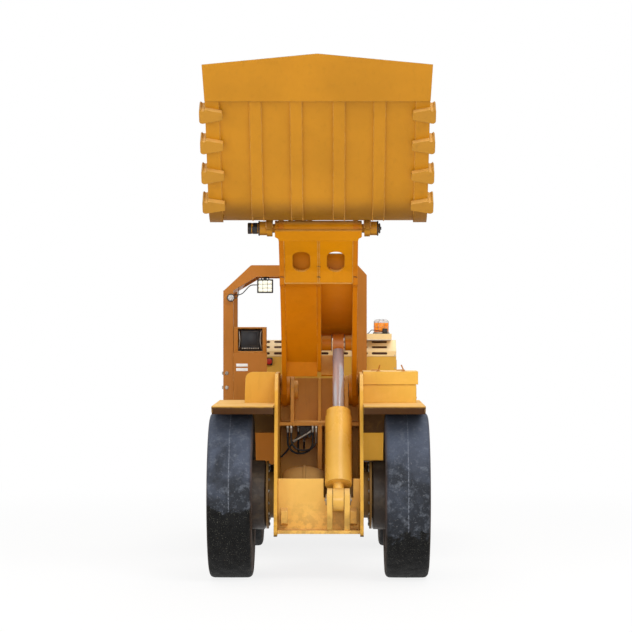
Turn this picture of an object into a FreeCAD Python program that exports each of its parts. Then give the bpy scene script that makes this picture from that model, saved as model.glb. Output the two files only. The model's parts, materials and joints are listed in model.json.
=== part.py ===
import FreeCAD, Part
import math
import os

# Low-profile underground mining loader, about 2 cubic metres, hinged in the middle.
# Millimetres. X is across, +Y runs from the bucket to the engine end, +Z is up, and the wheels stand
# on Z = 0. The origin is below the middle of the machine. The boom is up and the bucket rolled back.

V = FreeCAD.Vector

# Layout
WHEELBASE = 2540.0
FRONT_AXLE_Y = -1020.0
WHEEL_Z = 620.0
TRACK_HALF = 655.0
HINGE_Y = FRONT_AXLE_Y + WHEELBASE / 2
REAR_AXLE_Y = FRONT_AXLE_Y + WHEELBASE
REAR_END_Y = FRONT_AXLE_Y + 4050.6

# Wheels
TYRE_RADIUS = 620.0
TYRE_WIDTH = 330.0
RIM_RADIUS = 305.0
DRUM_ROOM = 47.0
DRUM_RADIUS = RIM_RADIUS - DRUM_ROOM
HUB_RADIUS = DRUM_RADIUS - 86
DRUM_INNER_X = 400.0
HUB_BORE_RADIUS = 70.0
BALL_X = -110.0

# Plates and clearances
PLATE = 25.0
RUNNING = 0.05
SEAT_GAP = 0.3
MOVING_GAP = 6.0

# Front frame
FRAME_HALF = 330.0
INNER_PLATE_IN = 195.0
INNER_PLATE_OUT = 223.0
CENTRE_PLATE_LEFT = -11.0
CENTRE_PLATE_RIGHT = 21.0
FRAME_TOP_Z = 1530.0
SHELF_Z = 1145.0
HOSE_RADIUS = 8.0
GUARD_TOP_Z = 1540.0
NOSE_TOP_Z = 757.0
FRAME_BOTTOM_Z = 345.0
PIVOT_Y = FRONT_AXLE_Y + 600.0
PIVOT_Z = 1390.0
PIVOT_PIN_RADIUS = 50.0
PIVOT_BOSS_RADIUS = 92.0
PIVOT_BOSS_PROUD = 38.0
COLLAR_RADIUS = 71.5
COLLAR_IN = 166.0

# Boom, in its own axes: t runs from the bucket pin to the pivot pin, h is above that line
BUCKET_PIN_Y = FRONT_AXLE_Y - 800.0
BUCKET_PIN_Z = 2593.0
BOOM_LENGTH = math.hypot(PIVOT_Y - BUCKET_PIN_Y, BUCKET_PIN_Z - PIVOT_Z)
BOOM_SLOPE = math.degrees(math.atan2(BUCKET_PIN_Z - PIVOT_Z, PIVOT_Y - BUCKET_PIN_Y))
BOOM_TRAVEL = 76.0
BOOM_HALF = 286.0
BOOM_PLATE = 36.0
BOOM_WEB = 30.0
BOOM_HEAD_HALF = 312.0
KNEE_T = 520.0
KNEE_H = -84.0
ARCH_T = (640.0, 920.0)
ARCH_H = (0.0, 4.0)
HEEL_T = 1284.0
HEEL_H = -21.0
BUCKET_PIN_RADIUS = 32.0
HEAD_TUBE_RADIUS = 55.0

# Bucket, in its own axes: origin on the pin, y along the floor from lip to heel, z off the floor
BUCKET_FLOOR_ANGLE = 54.0
BUCKET_LIP_Y = -1502.0
BUCKET_FLOOR_Z = -280.0
BUCKET_FLAT = 1055.0
BUCKET_HEEL_RADIUS = 357.0
BUCKET_DEPTH = 960.0
BUCKET_HALF = 766.0
BUCKET_WALL = 25.0
LIP_HALF = BUCKET_HALF + 11
LIP_POINT = 84.0
LIP_DEPTH = 252.0
LIP_THICK = 38.0
EDGE_STRIP = 95.0
LIP_FORWARD = 36.0
LIP_BEVEL = 70.0
CASTING_HALF = BUCKET_HALF + 40
LUG_IN = 330.0
LUG_OUT = 370.0
LUG_BOSS_OUT = 425.0

# Lift cylinder, right of the middle
LIFT_X = 145.0
LIFT_BASE_Y = FRONT_AXLE_Y - 340.0
LIFT_BASE_Z = 607.0
LIFT_EYE_Y = FRONT_AXLE_Y + 350.0
LIFT_EYE_Z = 1757.0
LIFT_BARREL_RADIUS = 100.0
LIFT_BARREL_LENGTH = 740.0
LIFT_ROD_RADIUS = 43.0
LIFT_PIN_RADIUS = 45.0

# Dump cylinder, left of the middle, inside the boom
DUMP_X = -132.0
DUMP_BARREL_RADIUS = 80.0
DUMP_ROD_RADIUS = 35.0
DUMP_CRANK = 200.0
DUMP_CRANK_ANGLE = 60.0
DUMP_BARREL_LENGTH = 800.0

# Steering cylinders
STEER_FRONT_X = 215.0
STEER_FRONT_Y = HINGE_Y - 275.0
STEER_REAR_X = 265.0
STEER_REAR_Y = HINGE_Y + 520.0
STEER_Z = 690.0
STEER_BARREL_RADIUS = 48.0
STEER_ROD_RADIUS = 25.0
STEER_PIN_RADIUS = 22.0

# Articulation
HINGE_PIN_RADIUS = 45.0
HINGE_UPPER_Z = 1010.0
HINGE_LOWER_Z = 440.0
HINGE_LUG = 50.0

# Rear frame
CAB_FRONT_Y = HINGE_Y + 130.0
CAB_LEFT = -785.0
CAB_FLOOR_Z = 780.0
CANOPY_TOP_Z = 2375.0
CANOPY_LEFT = -785.0
CANOPY_POST = 82.0
LAMP_LEFT = -511.0
CANOPY_RIGHT = 378.0
CANOPY_FRONT_Y = HINGE_Y + 155.0
CANOPY_LENGTH = 920.0
HOOD_FRONT_Y = HINGE_Y + 1080.0
HOOD_HALF = 640.0
LOUVRE_X = (-560.0, -390.0, -220.0, -50.0, 120.0, 290.0, 460.0)
LOUVRE_WIDTH = 128.0
LOUVRE_PITCH = 58.0
HOOD_TOP_Z = 1760.0
HOOD_REAR_TOP_Z = 1560.0
HOOD_BOTTOM_Z = 1290.0
FENDER_Z = 1306.0
TOOLBOX_DEPTH = 370.0
TANK_IN = 300.0
TANK_TOP_Z = 1400.0


def corner_arc(before, corner, after):
    """Start, middle and end of the arc that rounds a corner given as (a, b, radius)."""
    a, b, radius = corner
    back = V(before[0] - a, before[1] - b, 0).normalize()
    ahead = V(after[0] - a, after[1] - b, 0).normalize()
    half = back.getAngle(ahead) / 2
    reach = radius / math.tan(half)
    inward = (back + ahead).normalize()
    point = V(a, b, 0)
    middle = point + inward * (radius / math.sin(half) - radius)
    return point + back * reach, middle, point + ahead * reach


def outline(points, place):
    """Closed wire through 2-D points; place turns (a, b) into a 3-D point. (a, b, r) rounds a corner."""
    spans = []
    count = len(points)
    for i, corner in enumerate(points):
        if len(corner) == 3:
            spans.append(corner_arc(points[i - 1], corner, points[(i + 1) % count]))
        else:
            spans.append((V(corner[0], corner[1], 0),))
    edges = []
    for i, span in enumerate(spans):
        if len(span) == 3:
            edges.append(Part.Arc(*[place(p.x, p.y) for p in span]).toShape())
        start = place(span[-1].x, span[-1].y)
        end = place(spans[(i + 1) % count][0].x, spans[(i + 1) % count][0].y)
        if (end - start).Length > 1e-6:
            edges.append(Part.LineSegment(start, end).toShape())
    return Part.Wire(edges)


def plate_x(points, x0, x1):
    """Plate between two X planes from an outline in (Y, Z)."""
    wire = outline(points, lambda a, b: V(x0, a, b))
    return Part.Face(wire).extrude(V(x1 - x0, 0, 0))


def plate_y(points, y0, y1):
    """Plate between two Y planes from an outline in (X, Z)."""
    wire = outline(points, lambda a, b: V(a, y0, b))
    return Part.Face(wire).extrude(V(0, y1 - y0, 0))


def plate_z(points, z0, z1):
    """Plate between two Z planes from an outline in (X, Y)."""
    wire = outline(points, lambda a, b: V(a, b, z0))
    return Part.Face(wire).extrude(V(0, 0, z1 - z0))


def box(x0, x1, y0, y1, z0, z1):
    return Part.makeBox(x1 - x0, y1 - y0, z1 - z0, V(x0, y0, z0))


def rod_x(x0, x1, y, z, radius):
    """Round bar along X."""
    return Part.makeCylinder(radius, x1 - x0, V(x0, y, z), V(1, 0, 0))


def rod_y(y0, y1, x, z, radius):
    """Round bar along Y."""
    return Part.makeCylinder(radius, y1 - y0, V(x, y0, z), V(0, 1, 0))


def rod_z(z0, z1, x, y, radius):
    """Round bar along Z."""
    return Part.makeCylinder(radius, z1 - z0, V(x, y, z0), V(0, 0, 1))


def turned_x(profile, y, z):
    """Body of revolution about the line along X through (y, z), from an outline in (X, radius)."""
    wire = outline(profile, lambda a, b: V(a, y, z + b))
    return Part.Face(wire).revolve(V(0, y, z), V(1, 0, 0), 360)


def hose(points, radius):
    """Round hose along straight runs joined by arcs that touch both runs."""
    corners = [V(*p) for p in points]
    edges = []
    start = corners[0]
    for before, corner, after in zip(corners, corners[1:], corners[2:]):
        back = before - corner
        ahead = after - corner
        reach = 0.45 * min(back.Length, ahead.Length)
        half = back.getAngle(ahead) / 2
        back.normalize()
        ahead.normalize()
        inward = (back + ahead).normalize()
        middle = corner + inward * (reach / math.cos(half) - reach * math.tan(half))
        edges.append(Part.LineSegment(start, corner + back * reach).toShape())
        edges.append(Part.Arc(corner + back * reach, middle, corner + ahead * reach).toShape())
        start = corner + ahead * reach
    edges.append(Part.LineSegment(start, corners[-1]).toShape())
    ring = Part.Wire(Part.makeCircle(radius, corners[0], corners[1] - corners[0]))
    return Part.Wire(edges).makePipeShell([ring], True, False)


def mirrored(shape):
    """The same piece on the other side of the machine."""
    return shape.mirror(V(0, 0, 0), V(1, 0, 0))


def both_sides(shape):
    return [shape, mirrored(shape)]


def union(shapes):
    """One solid from touching or overlapping solids."""
    joined = shapes[0].fuse(shapes[1:]) if len(shapes) > 1 else shapes[0]
    return joined.removeSplitter()


def placed(shape, y, z, slope):
    """Moves a piece drawn about the origin to (y, z), tilted nose-up by slope degrees about X."""
    moved = shape.copy()
    turn = FreeCAD.Rotation(V(1, 0, 0), -slope)
    moved.Placement = FreeCAD.Placement(V(0, y, z), turn).multiply(moved.Placement)
    return moved


def boom_point(t, h):
    """World (Y, Z) of a point given in the boom's own axes."""
    slope = math.radians(BOOM_SLOPE)
    return (BUCKET_PIN_Y + t * math.cos(slope) + h * math.sin(slope),
            BUCKET_PIN_Z - t * math.sin(slope) + h * math.cos(slope))


def boom_axes(y, z):
    """The boom's own (t, h) of a world point."""
    slope = math.radians(BOOM_SLOPE)
    dy = y - BUCKET_PIN_Y
    dz = z - BUCKET_PIN_Z
    return (dy * math.cos(slope) - dz * math.sin(slope),
            dy * math.sin(slope) + dz * math.cos(slope))


def channel_front(inset):
    """Underside of the boom between the knee and the pivot, set in from the side plates' edge."""
    return [(KNEE_T, KNEE_H + inset, 40), (ARCH_T[0], ARCH_H[0] + inset, 80),
            (ARCH_T[1], ARCH_H[1] + inset, 200),
            (HEEL_T, HEEL_H + inset, 300)]


def in_boom(shape):
    return placed(shape, BUCKET_PIN_Y, BUCKET_PIN_Z, BOOM_SLOPE)


def in_bucket(shape):
    return placed(shape, BUCKET_PIN_Y, BUCKET_PIN_Z, BUCKET_FLOOR_ANGLE)


# ---------------------------------------------------------------- wheels

def tyre(x, y):
    """Smooth mining tyre with a square shoulder."""
    half = TYRE_WIDTH / 2
    right = [(118, RIM_RADIUS), (118, RIM_RADIUS + 30), (140, RIM_RADIUS + 46),
             (half - 4, RIM_RADIUS + 88), (half, RIM_RADIUS + 130),
             (half, TYRE_RADIUS - 90), (half - 3, TYRE_RADIUS - 32), (half - 13, TYRE_RADIUS - 9),
             (half - 36, TYRE_RADIUS)]
    profile = [(x - dx, radius) for dx, radius in right]
    profile += [(x + dx, radius) for dx, radius in reversed(right)]
    return turned_x(profile, y, WHEEL_Z)


def rim(x, y):
    """Wheel with its brake drum, drawn for the right side and turned over for the left."""
    side = 1 if x > 0 else -1
    half = TYRE_WIDTH / 2
    band_in = RIM_RADIUS - 26
    outer = RIM_RADIUS + 28
    inner_face = DRUM_INNER_X
    bore = HUB_BORE_RADIUS + RUNNING
    centre = abs(x)
    profile = [(inner_face, bore), (inner_face, DRUM_RADIUS - 8), (inner_face + 8, DRUM_RADIUS),
               (centre - half + 42, DRUM_RADIUS), (centre - 70, DRUM_RADIUS - 30),
               (centre + 20, DRUM_RADIUS - 30), (centre + 40, band_in), (centre - 132, band_in),
               (centre - 132, RIM_RADIUS - SEAT_GAP), (centre - 118, RIM_RADIUS - SEAT_GAP),
               (centre + 118, RIM_RADIUS - SEAT_GAP), (centre + 132, RIM_RADIUS - SEAT_GAP),
               (centre + 132, band_in), (centre + 66, band_in), (centre + 46, DRUM_RADIUS - 36),
               (centre + 46, HUB_RADIUS), (centre + 112, HUB_RADIUS - 7), (centre + 126, HUB_RADIUS - 22),
               (centre + 132, HUB_RADIUS - 60), (centre + 146, HUB_RADIUS - 68),
               (centre + 150, HUB_RADIUS - 80), (centre + 150, 0), (inner_face + 190, 0),
               (inner_face + 190, bore)]
    body = turned_x(profile, y, WHEEL_Z)
    flanges = []
    for edge in (centre - 132 - SEAT_GAP, centre + 118 + SEAT_GAP):
        ring = Part.makeCylinder(outer, 14, V(edge, y, WHEEL_Z), V(1, 0, 0))
        hole = Part.makeCylinder(band_in + 5, 14, V(edge, y, WHEEL_Z), V(1, 0, 0))
        flanges.append(ring.cut(hole))
    body = union([body] + flanges)
    return body if side > 0 else mirrored(body)


# ---------------------------------------------------------------- axles

def axle(y, arm_radius, ball_radius):
    """Axle housing with its differential ball, arms, bolted flanges and hub spindles."""
    bulge = [(165, arm_radius - 12), (140, ball_radius - 62), (98, ball_radius - 24),
             (45, ball_radius - 4)]
    arm = [(-FRAME_HALF - 2, 0), (-FRAME_HALF - 2, arm_radius)]
    arm += [(BALL_X - dx, radius) for dx, radius in bulge]
    arm += [(BALL_X + dx, radius) for dx, radius in reversed(bulge)]
    arm += [(90, arm_radius), (FRAME_HALF + 2, arm_radius), (FRAME_HALF + 2, 0)]
    housing = turned_x(arm, y, WHEEL_Z)
    inner = DRUM_INNER_X - MOVING_GAP
    end = [(FRAME_HALF, 0), (FRAME_HALF, 172.5), (inner - 18, 172.5), (inner - 18, DRUM_RADIUS - 4),
           (inner, DRUM_RADIUS - 4), (inner, HUB_BORE_RADIUS), (inner + 170, HUB_BORE_RADIUS),
           (inner + 170, 0)]
    right = turned_x(end, y, WHEEL_Z)
    nose = Part.makeCone(115, 75, 202, V(0, y + 100, WHEEL_Z), V(0, 1, 0))
    if y > HINGE_Y:
        nose = Part.makeCone(115, 75, 202, V(0, y - 100, WHEEL_Z), V(0, -1, 0))
    return union([housing, right, mirrored(right), nose])


# ---------------------------------------------------------------- front frame

def front_side_plate():
    """Right outer plate of the front frame, from the bumper line back to the hinge."""
    axle_y = FRONT_AXLE_Y
    points = [(axle_y - 500, FRAME_BOTTOM_Z, 30), (axle_y - 170, PIVOT_Z + 22, 60),
              (axle_y - 40, FRAME_TOP_Z, 60), (PIVOT_Y + 60, FRAME_TOP_Z, 90),
              (PIVOT_Y + 210, PIVOT_Z - 130, 120), (PIVOT_Y + 290, 1120, 40),
              (PIVOT_Y + 290, FRAME_BOTTOM_Z + 40, 60), (axle_y + 300, FRAME_BOTTOM_Z)]
    plate = plate_x(points, FRAME_HALF - PLATE, FRAME_HALF)
    plate = plate.cut(rod_x(FRAME_HALF - 2 * PLATE, FRAME_HALF + PLATE, axle_y, WHEEL_Z, 130 + SEAT_GAP))
    return plate.cut(rod_x(FRAME_HALF - 2 * PLATE, FRAME_HALF + PLATE, PIVOT_Y, PIVOT_Z,
                           PIVOT_PIN_RADIUS + SEAT_GAP))


def front_inner_frame():
    """Inner pivot plates, centre plate and the cross plates that tie the side plates together."""
    inside = FRAME_HALF - PLATE
    low = HINGE_UPPER_Z - HINGE_LUG / 2
    inner = plate_x([(PIVOT_Y - 150, SHELF_Z), (PIVOT_Y - 130, PIVOT_Z + 10, 60),
                     (PIVOT_Y - 40, FRAME_TOP_Z - 30, 80),
                     (PIVOT_Y + 90, FRAME_TOP_Z - 30, 60), (PIVOT_Y + 200, PIVOT_Z - 140, 60),
                     (PIVOT_Y + 250, SHELF_Z)], INNER_PLATE_IN, INNER_PLATE_OUT)
    collar = rod_x(COLLAR_IN, INNER_PLATE_IN, PIVOT_Y, PIVOT_Z, COLLAR_RADIUS)
    bore = rod_x(COLLAR_IN - 5, INNER_PLATE_OUT + 5, PIVOT_Y, PIVOT_Z, PIVOT_PIN_RADIUS + SEAT_GAP)
    cheek = union([inner, collar]).cut(bore)
    centre = plate_x([(PIVOT_Y - 340, FRAME_BOTTOM_Z + 30), (PIVOT_Y - 330, 900, 80),
                      (PIVOT_Y - 180, SHELF_Z), (PIVOT_Y + 250, SHELF_Z), (PIVOT_Y + 290, 1000),
                      (PIVOT_Y + 290, low), (PIVOT_Y + 250, FRAME_BOTTOM_Z + 30)],
                     CENTRE_PLATE_LEFT, CENTRE_PLATE_RIGHT)
    axle_room = rod_x(-200, 200, FRONT_AXLE_Y, WHEEL_Z, 262)
    shaft_room = rod_y(FRONT_AXLE_Y, HINGE_Y, 0, WHEEL_Z, 90)
    centre = centre.cut(axle_room).cut(shaft_room)
    shelf = box(-inside, inside, PIVOT_Y - 190, PIVOT_Y + 290, SHELF_Z - PLATE, SHELF_Z)
    back = box(-inside, inside, PIVOT_Y + 228, PIVOT_Y + 250, SHELF_Z, FRAME_TOP_Z - 55)
    rib = plate_x([(PIVOT_Y + 228, SHELF_Z), (PIVOT_Y + 228, FRAME_TOP_Z - 55),
                   (PIVOT_Y + 205, FRAME_TOP_Z - 55),
                   (PIVOT_Y + 60, SHELF_Z)], -12, 12)
    floor = box(-inside, inside, FRONT_AXLE_Y - 190, PIVOT_Y + 290, FRAME_BOTTOM_Z + 10,
                FRAME_BOTTOM_Z + 30)
    rear_wall = box(-inside, inside, PIVOT_Y + 250, PIVOT_Y + 290, FRAME_BOTTOM_Z + 30, SHELF_Z - PLATE)
    rear_wall = rear_wall.cut(rod_y(PIVOT_Y + 240, PIVOT_Y + 300, 0, WHEEL_Z, 90))
    return union([cheek, mirrored(cheek), centre, shelf, back, rib, floor, rear_wall])


def front_lower_plate():
    """Nose plate between the side plates, cut out round the lift cylinder's foot."""
    inside = FRAME_HALF - PLATE
    y = LIFT_BASE_Y + 95
    plate = box(-inside, inside, y, y + 22, FRAME_BOTTOM_Z + 10, NOSE_TOP_Z)
    plate = plate.cut(box(LIFT_X - 110, LIFT_X + 110, y - 1, y + 23, LIFT_BASE_Z + 8, FRAME_TOP_Z))
    lip = box(-inside, inside, y - 95, y, FRAME_BOTTOM_Z + 10, FRAME_BOTTOM_Z + 35)
    return union([plate, lip])


def hydraulic_hoses():
    """Hoses under the shelf: two hang in loops, two run back to the rear wall."""
    top = SHELF_Z - PLATE
    hoses = []
    for x, y, low in ((-217, PIVOT_Y - 175, 930), (-244, PIVOT_Y - 140, 905)):
        loop = [(x, y, top), (x, y, low), (x + 193, y, low), (x + 193, y, top)]
        hoses.append(hose(loop, HOSE_RADIUS))
    for x, y, low in ((-120, PIVOT_Y + 20, 930), (-165, PIVOT_Y + 25, 895)):
        hoses.append(hose([(x, y, top), (x, y, low), (x, PIVOT_Y + 250, low)], HOSE_RADIUS))
    return Part.makeCompound(hoses)


def lift_clevis():
    """Two ears that hold the lift cylinder's foot, with their pin."""
    back = LIFT_BASE_Y + 95
    ears = []
    for x in (LIFT_X - 84, LIFT_X + 44):
        ear = plate_x([(back, FRAME_BOTTOM_Z + 35), (LIFT_BASE_Y + 10, FRAME_BOTTOM_Z + 35),
                       (LIFT_BASE_Y - 84, LIFT_BASE_Z - 100, 80),
                       (LIFT_BASE_Y - 84, LIFT_BASE_Z + 84, 80), (LIFT_BASE_Y + 60, LIFT_BASE_Z + 84, 60),
                       (back, LIFT_BASE_Z + 5)], x, x + 40)
        ears.append(ear)
    pin = rod_x(LIFT_X - 88, LIFT_X + 86, LIFT_BASE_Y, LIFT_BASE_Z, LIFT_PIN_RADIUS)
    return union(ears + [pin])


def boom_stop():
    """Right rest block on the nose plate."""
    y = LIFT_BASE_Y + 95
    return plate_x([(y, 410), (y - 62, 430), (y - 62, 520, 12), (y, 540)], BOOM_HALF - 54, BOOM_HALF - 6)


def pivot_pin():
    """Right boom pivot pin with its bolted head."""
    pin = rod_x(COLLAR_IN, FRAME_HALF, PIVOT_Y, PIVOT_Z, PIVOT_PIN_RADIUS)
    head = rod_x(FRAME_HALF, FRAME_HALF + PIVOT_BOSS_PROUD, PIVOT_Y, PIVOT_Z, PIVOT_BOSS_RADIUS)
    return union([pin, head])


def front_hinge_lugs():
    """Upper and lower lug of the front frame, with the two hinge pins that stand in them."""
    root = PIVOT_Y + 290
    lugs = []
    for z in (HINGE_UPPER_Z, HINGE_LOWER_Z):
        lug = plate_z([(-300, root), (-118, HINGE_Y - 20, 60), (-90, HINGE_Y + 118, 90),
                       (90, HINGE_Y + 118, 90),
                       (118, HINGE_Y - 20, 60), (300, root)], z - HINGE_LUG / 2, z + HINGE_LUG / 2)
        pin = rod_z(z - HINGE_LUG / 2 - 60, z + HINGE_LUG / 2 + 60, 0, HINGE_Y, HINGE_PIN_RADIUS)
        lugs.append(union([lug, pin]))
    return Part.makeCompound(lugs)


def fender():
    """Right front fender: top plate, short rear apron and outer lip."""
    front = FRONT_AXLE_Y - 600
    back = FRONT_AXLE_Y + 750
    top = box(FRAME_HALF, 780, front, back, FENDER_Z - 12, FENDER_Z)
    apron = box(FRAME_HALF, 780, back - 12, back, 1050, FENDER_Z - 12)
    lip = plate_x([(front, FENDER_Z - 12), (front + 14, FENDER_Z - 12), (front + 74, FENDER_Z - 60),
                   (front + 60, FENDER_Z - 60)], FRAME_HALF, 780)
    edge = box(772, 780, front + 10, back - 12, FENDER_Z - 45, FENDER_Z - 12)
    boss_room = box(FRAME_HALF - 1, FRAME_HALF + PIVOT_BOSS_PROUD + 4, PIVOT_Y - PIVOT_BOSS_RADIUS - 4,
                    PIVOT_Y + PIVOT_BOSS_RADIUS + 4, FENDER_Z - 50, FENDER_Z + 1)
    return union([top, apron, lip, edge]).cut(boss_room)


def guard_plate():
    """Upright plate on the left fender that shields the operator from the boom."""
    y = FRONT_AXLE_Y + 120
    plate = plate_y([(-564, FENDER_Z), (-556, GUARD_TOP_Z, 55), (-FRAME_HALF, GUARD_TOP_Z),
                     (-FRAME_HALF, FENDER_Z)], y, y + 12)
    web = plate_x([(y + 12, FENDER_Z), (y + 12, 1440), (y + 190, FENDER_Z)], -470, -458)
    return union([plate, web])


def toolbox():
    """Open steel box on the right fender."""
    y0 = FRONT_AXLE_Y + 120
    outside = box(FRAME_HALF + 2, 733, y0, y0 + TOOLBOX_DEPTH, FENDER_Z, 1445)
    inside = box(FRAME_HALF + 8, 727, y0 + 6, y0 + TOOLBOX_DEPTH - 6, FENDER_Z + 6, 1450)
    return outside.cut(inside)


def toolbox_lid():
    """Deep lid that overhangs the toolbox, hinged at its rear edge."""
    y0 = FRONT_AXLE_Y + 108
    y1 = FRONT_AXLE_Y + 132 + TOOLBOX_DEPTH
    outside = box(FRAME_HALF + 2, 748, y0, y1, 1445 + SEAT_GAP, 1543)
    inside = box(FRAME_HALF + 8, 742, y0 + 6, y1 - 6, 1440, 1537)
    return outside.cut(inside)


# ---------------------------------------------------------------- boom

PIVOT_T = BOOM_LENGTH
CROSS_T, CROSS_H = boom_axes(LIFT_EYE_Y, LIFT_EYE_Z)


def boom_side():
    """Right boom plate with its boss at the pivot."""
    points = [(20, -66, 40), (250, -40, 160), (430, -36, 60)] + channel_front(0)
    points += [(PIVOT_T - 90, -122, 60), (PIVOT_T + 135, -110, 110), (PIVOT_T + 135, 125, 110),
               (CROSS_T, 270, 200), (700, 235, 300), (330, 130, 120), (-50, 72, 60), (-72, -50, 60)]
    plate = plate_x(points, BOOM_HALF - BOOM_PLATE, BOOM_HALF)
    boss = rod_x(INNER_PLATE_OUT + 4, FRAME_HALF - PLATE - 4, PIVOT_T, 0, 118)
    bore = rod_x(0, FRAME_HALF, PIVOT_T, 0, PIVOT_PIN_RADIUS + RUNNING)
    tube = rod_x(0, FRAME_HALF, 0, 0, HEAD_TUBE_RADIUS)
    return in_boom(union([plate, boss]).cut(bore).cut(tube).cut(head_collar()))


def boom_web():
    """Centre plate of the boom."""
    points = [(45, -50), (250, -25, 160), (432, -21, 60)] + channel_front(6)
    points += [(PIVOT_T - 260, -70, 60), (PIVOT_T - 230, 150, 100), (CROSS_T, 250, 150), (700, 215, 300),
               (340, 110, 80), (30, 48)]
    web = plate_x(points, -BOOM_WEB / 2, BOOM_WEB / 2)
    tube = rod_x(-FRAME_HALF, FRAME_HALF, 0, 0, HEAD_TUBE_RADIUS)
    return in_boom(web.cut(head_sheet(BOOM_HALF)).cut(tube).cut(head_collar()))


def head_sheet(half):
    """Curved sheet under the boom's head, from the hinge tube to the knee."""
    return plate_x([(28, -44), (250, -16, 160), (436, -12, 60), (522, -66), (508, -80), (428, -30, 60),
                    (252, -34, 160), (30, -68)], -half, half)


def head_collar():
    """Flat plate over the front of the hinge tube, wider than the boom."""
    return plate_z([(-BOOM_HEAD_HALF, -44), (BOOM_HEAD_HALF, -44), (BOOM_HEAD_HALF, 22, 14),
                    (BOOM_HALF + 4, 36, 16), (BOOM_HALF, 60), (-BOOM_HALF, 60), (-BOOM_HALF - 4, 36, 16),
                    (-BOOM_HEAD_HALF, 22, 14)], -68, -50)


def boom_head():
    """Hinge tube and the curved front plate with its two oval holes."""
    tube = rod_x(-BOOM_HEAD_HALF, BOOM_HEAD_HALF, 0, 0, HEAD_TUBE_RADIUS)
    tube = tube.cut(rod_x(-BOOM_HEAD_HALF - 1, BOOM_HEAD_HALF + 1, 0, 0, BUCKET_PIN_RADIUS + RUNNING))
    sheet = head_sheet(BOOM_HALF - BOOM_PLATE)
    for x in (-125, 125):
        sheet = sheet.cut(plate_z([(x - 64, 206, 63), (x - 64, 432, 63), (x + 64, 432, 63),
                                   (x + 64, 206, 63)],
                                  -120, 80))
    return in_boom(union([tube, sheet, head_collar()]))


def boom_channel_plates():
    """Plates that close the underside between the side plates and the web."""
    inside = BOOM_HALF - BOOM_PLATE
    web = BOOM_WEB / 2
    below = [(508, -58), (640, -4, 80), (920, 0, 300), (1284, -14, 300), (1474, -26, 20)]
    turned_up = [(PIVOT_T - 268, -86), (PIVOT_T - 256, -76)]
    above = [(1480, -10, 20), (1284, 2, 300), (920, 16, 300), (640, 12, 80), (512, -40)]
    left = plate_x(below + turned_up + above, -inside, -web)
    below = [(490, -36), (560, 12, 60), (800, 68, 300), (1100, 148, 300), (1345, 218, 200), (1500, 232)]
    above = [(1500, 250), (1335, 236, 200), (1100, 166, 300), (800, 86, 300), (552, 30, 60), (490, -18)]
    trough = plate_x(below + above, web, inside)
    low = plate_x([(PIVOT_T - 240, -45), (PIVOT_T - 222, -45), (PIVOT_T - 222, 150), (PIVOT_T - 240, 150)],
                  web, INNER_PLATE_IN - MOVING_GAP)
    return [in_boom(p.cut(head_sheet(BOOM_HALF))) for p in (left, trough, low)]


def boom_cross_pin():
    """Pin across the boom: carries the dump cylinder's foot and bosses either side of the lift eye."""
    inside = BOOM_HALF - BOOM_PLATE
    web = BOOM_WEB / 2
    left = rod_x(-inside, -web, CROSS_T, CROSS_H, LIFT_PIN_RADIUS)
    right = []
    for x0, x1 in ((web, LIFT_X - 46), (LIFT_X + 46, inside)):
        right.append(rod_x(x0, x1, CROSS_T, CROSS_H, 59))
    return Part.makeCompound([in_boom(p) for p in [left] + right])


# ---------------------------------------------------------------- bucket

def bucket_section(inset):
    """Outline of the bucket shell's inside or outside, in the bucket's own axes."""
    front = BUCKET_LIP_Y + 20
    back = BUCKET_LIP_Y + BUCKET_FLAT + BUCKET_HEEL_RADIUS - inset
    low = BUCKET_FLOOR_Z + inset
    top = BUCKET_FLOOR_Z + BUCKET_DEPTH
    return front, back, low, top


def bucket_shell():
    """Floor, heel and back in one bent plate, with the spill edge."""
    front, back, low, top = bucket_section(0)
    inner_back = back - BUCKET_WALL
    inner_low = low + BUCKET_WALL
    points = [(front, low), (back, low, BUCKET_HEEL_RADIUS), (back, top - 120), (back + 60, top),
              (back + 36, top + 8), (inner_back, top - 112),
              (inner_back, inner_low, BUCKET_HEEL_RADIUS - BUCKET_WALL),
              (front, inner_low)]
    return in_bucket(plate_x(points, -BUCKET_HALF, BUCKET_HALF))


def bucket_side():
    """Right side plate, standing inside the shell's edge."""
    _, back, low, top = bucket_section(BUCKET_WALL)
    front = BUCKET_LIP_Y + 60
    points = [(front, low), (back, low, BUCKET_HEEL_RADIUS - BUCKET_WALL), (back, top - 90),
              (back - 60, top - 20),
              (back - 500, low + 420, 500), (front, low + 110, 40)]
    return in_bucket(plate_x(points, BUCKET_HALF - 30, BUCKET_HALF))


def bucket_lip():
    """Thick cutting edge, bevelled from inside, that comes to a blunt point in the middle."""
    front = BUCKET_LIP_Y - LIP_FORWARD
    back = BUCKET_LIP_Y + LIP_DEPTH
    taper = 10 / (back - front)
    wires = []
    for z, bevel in ((BUCKET_FLOOR_Z - LIP_THICK, 0), (BUCKET_FLOOR_Z, LIP_BEVEL)):
        half = LIP_HALF - taper * bevel
        points = [(-half, front + bevel), (-8, front + bevel - LIP_POINT), (8, front + bevel - LIP_POINT),
                  (half, front + bevel), (LIP_HALF - 10, back), (10 - LIP_HALF, back)]
        wires.append(outline(points, lambda a, b: V(a, b, z)))
    return in_bucket(Part.makeLoft(wires, True, True))


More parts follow.
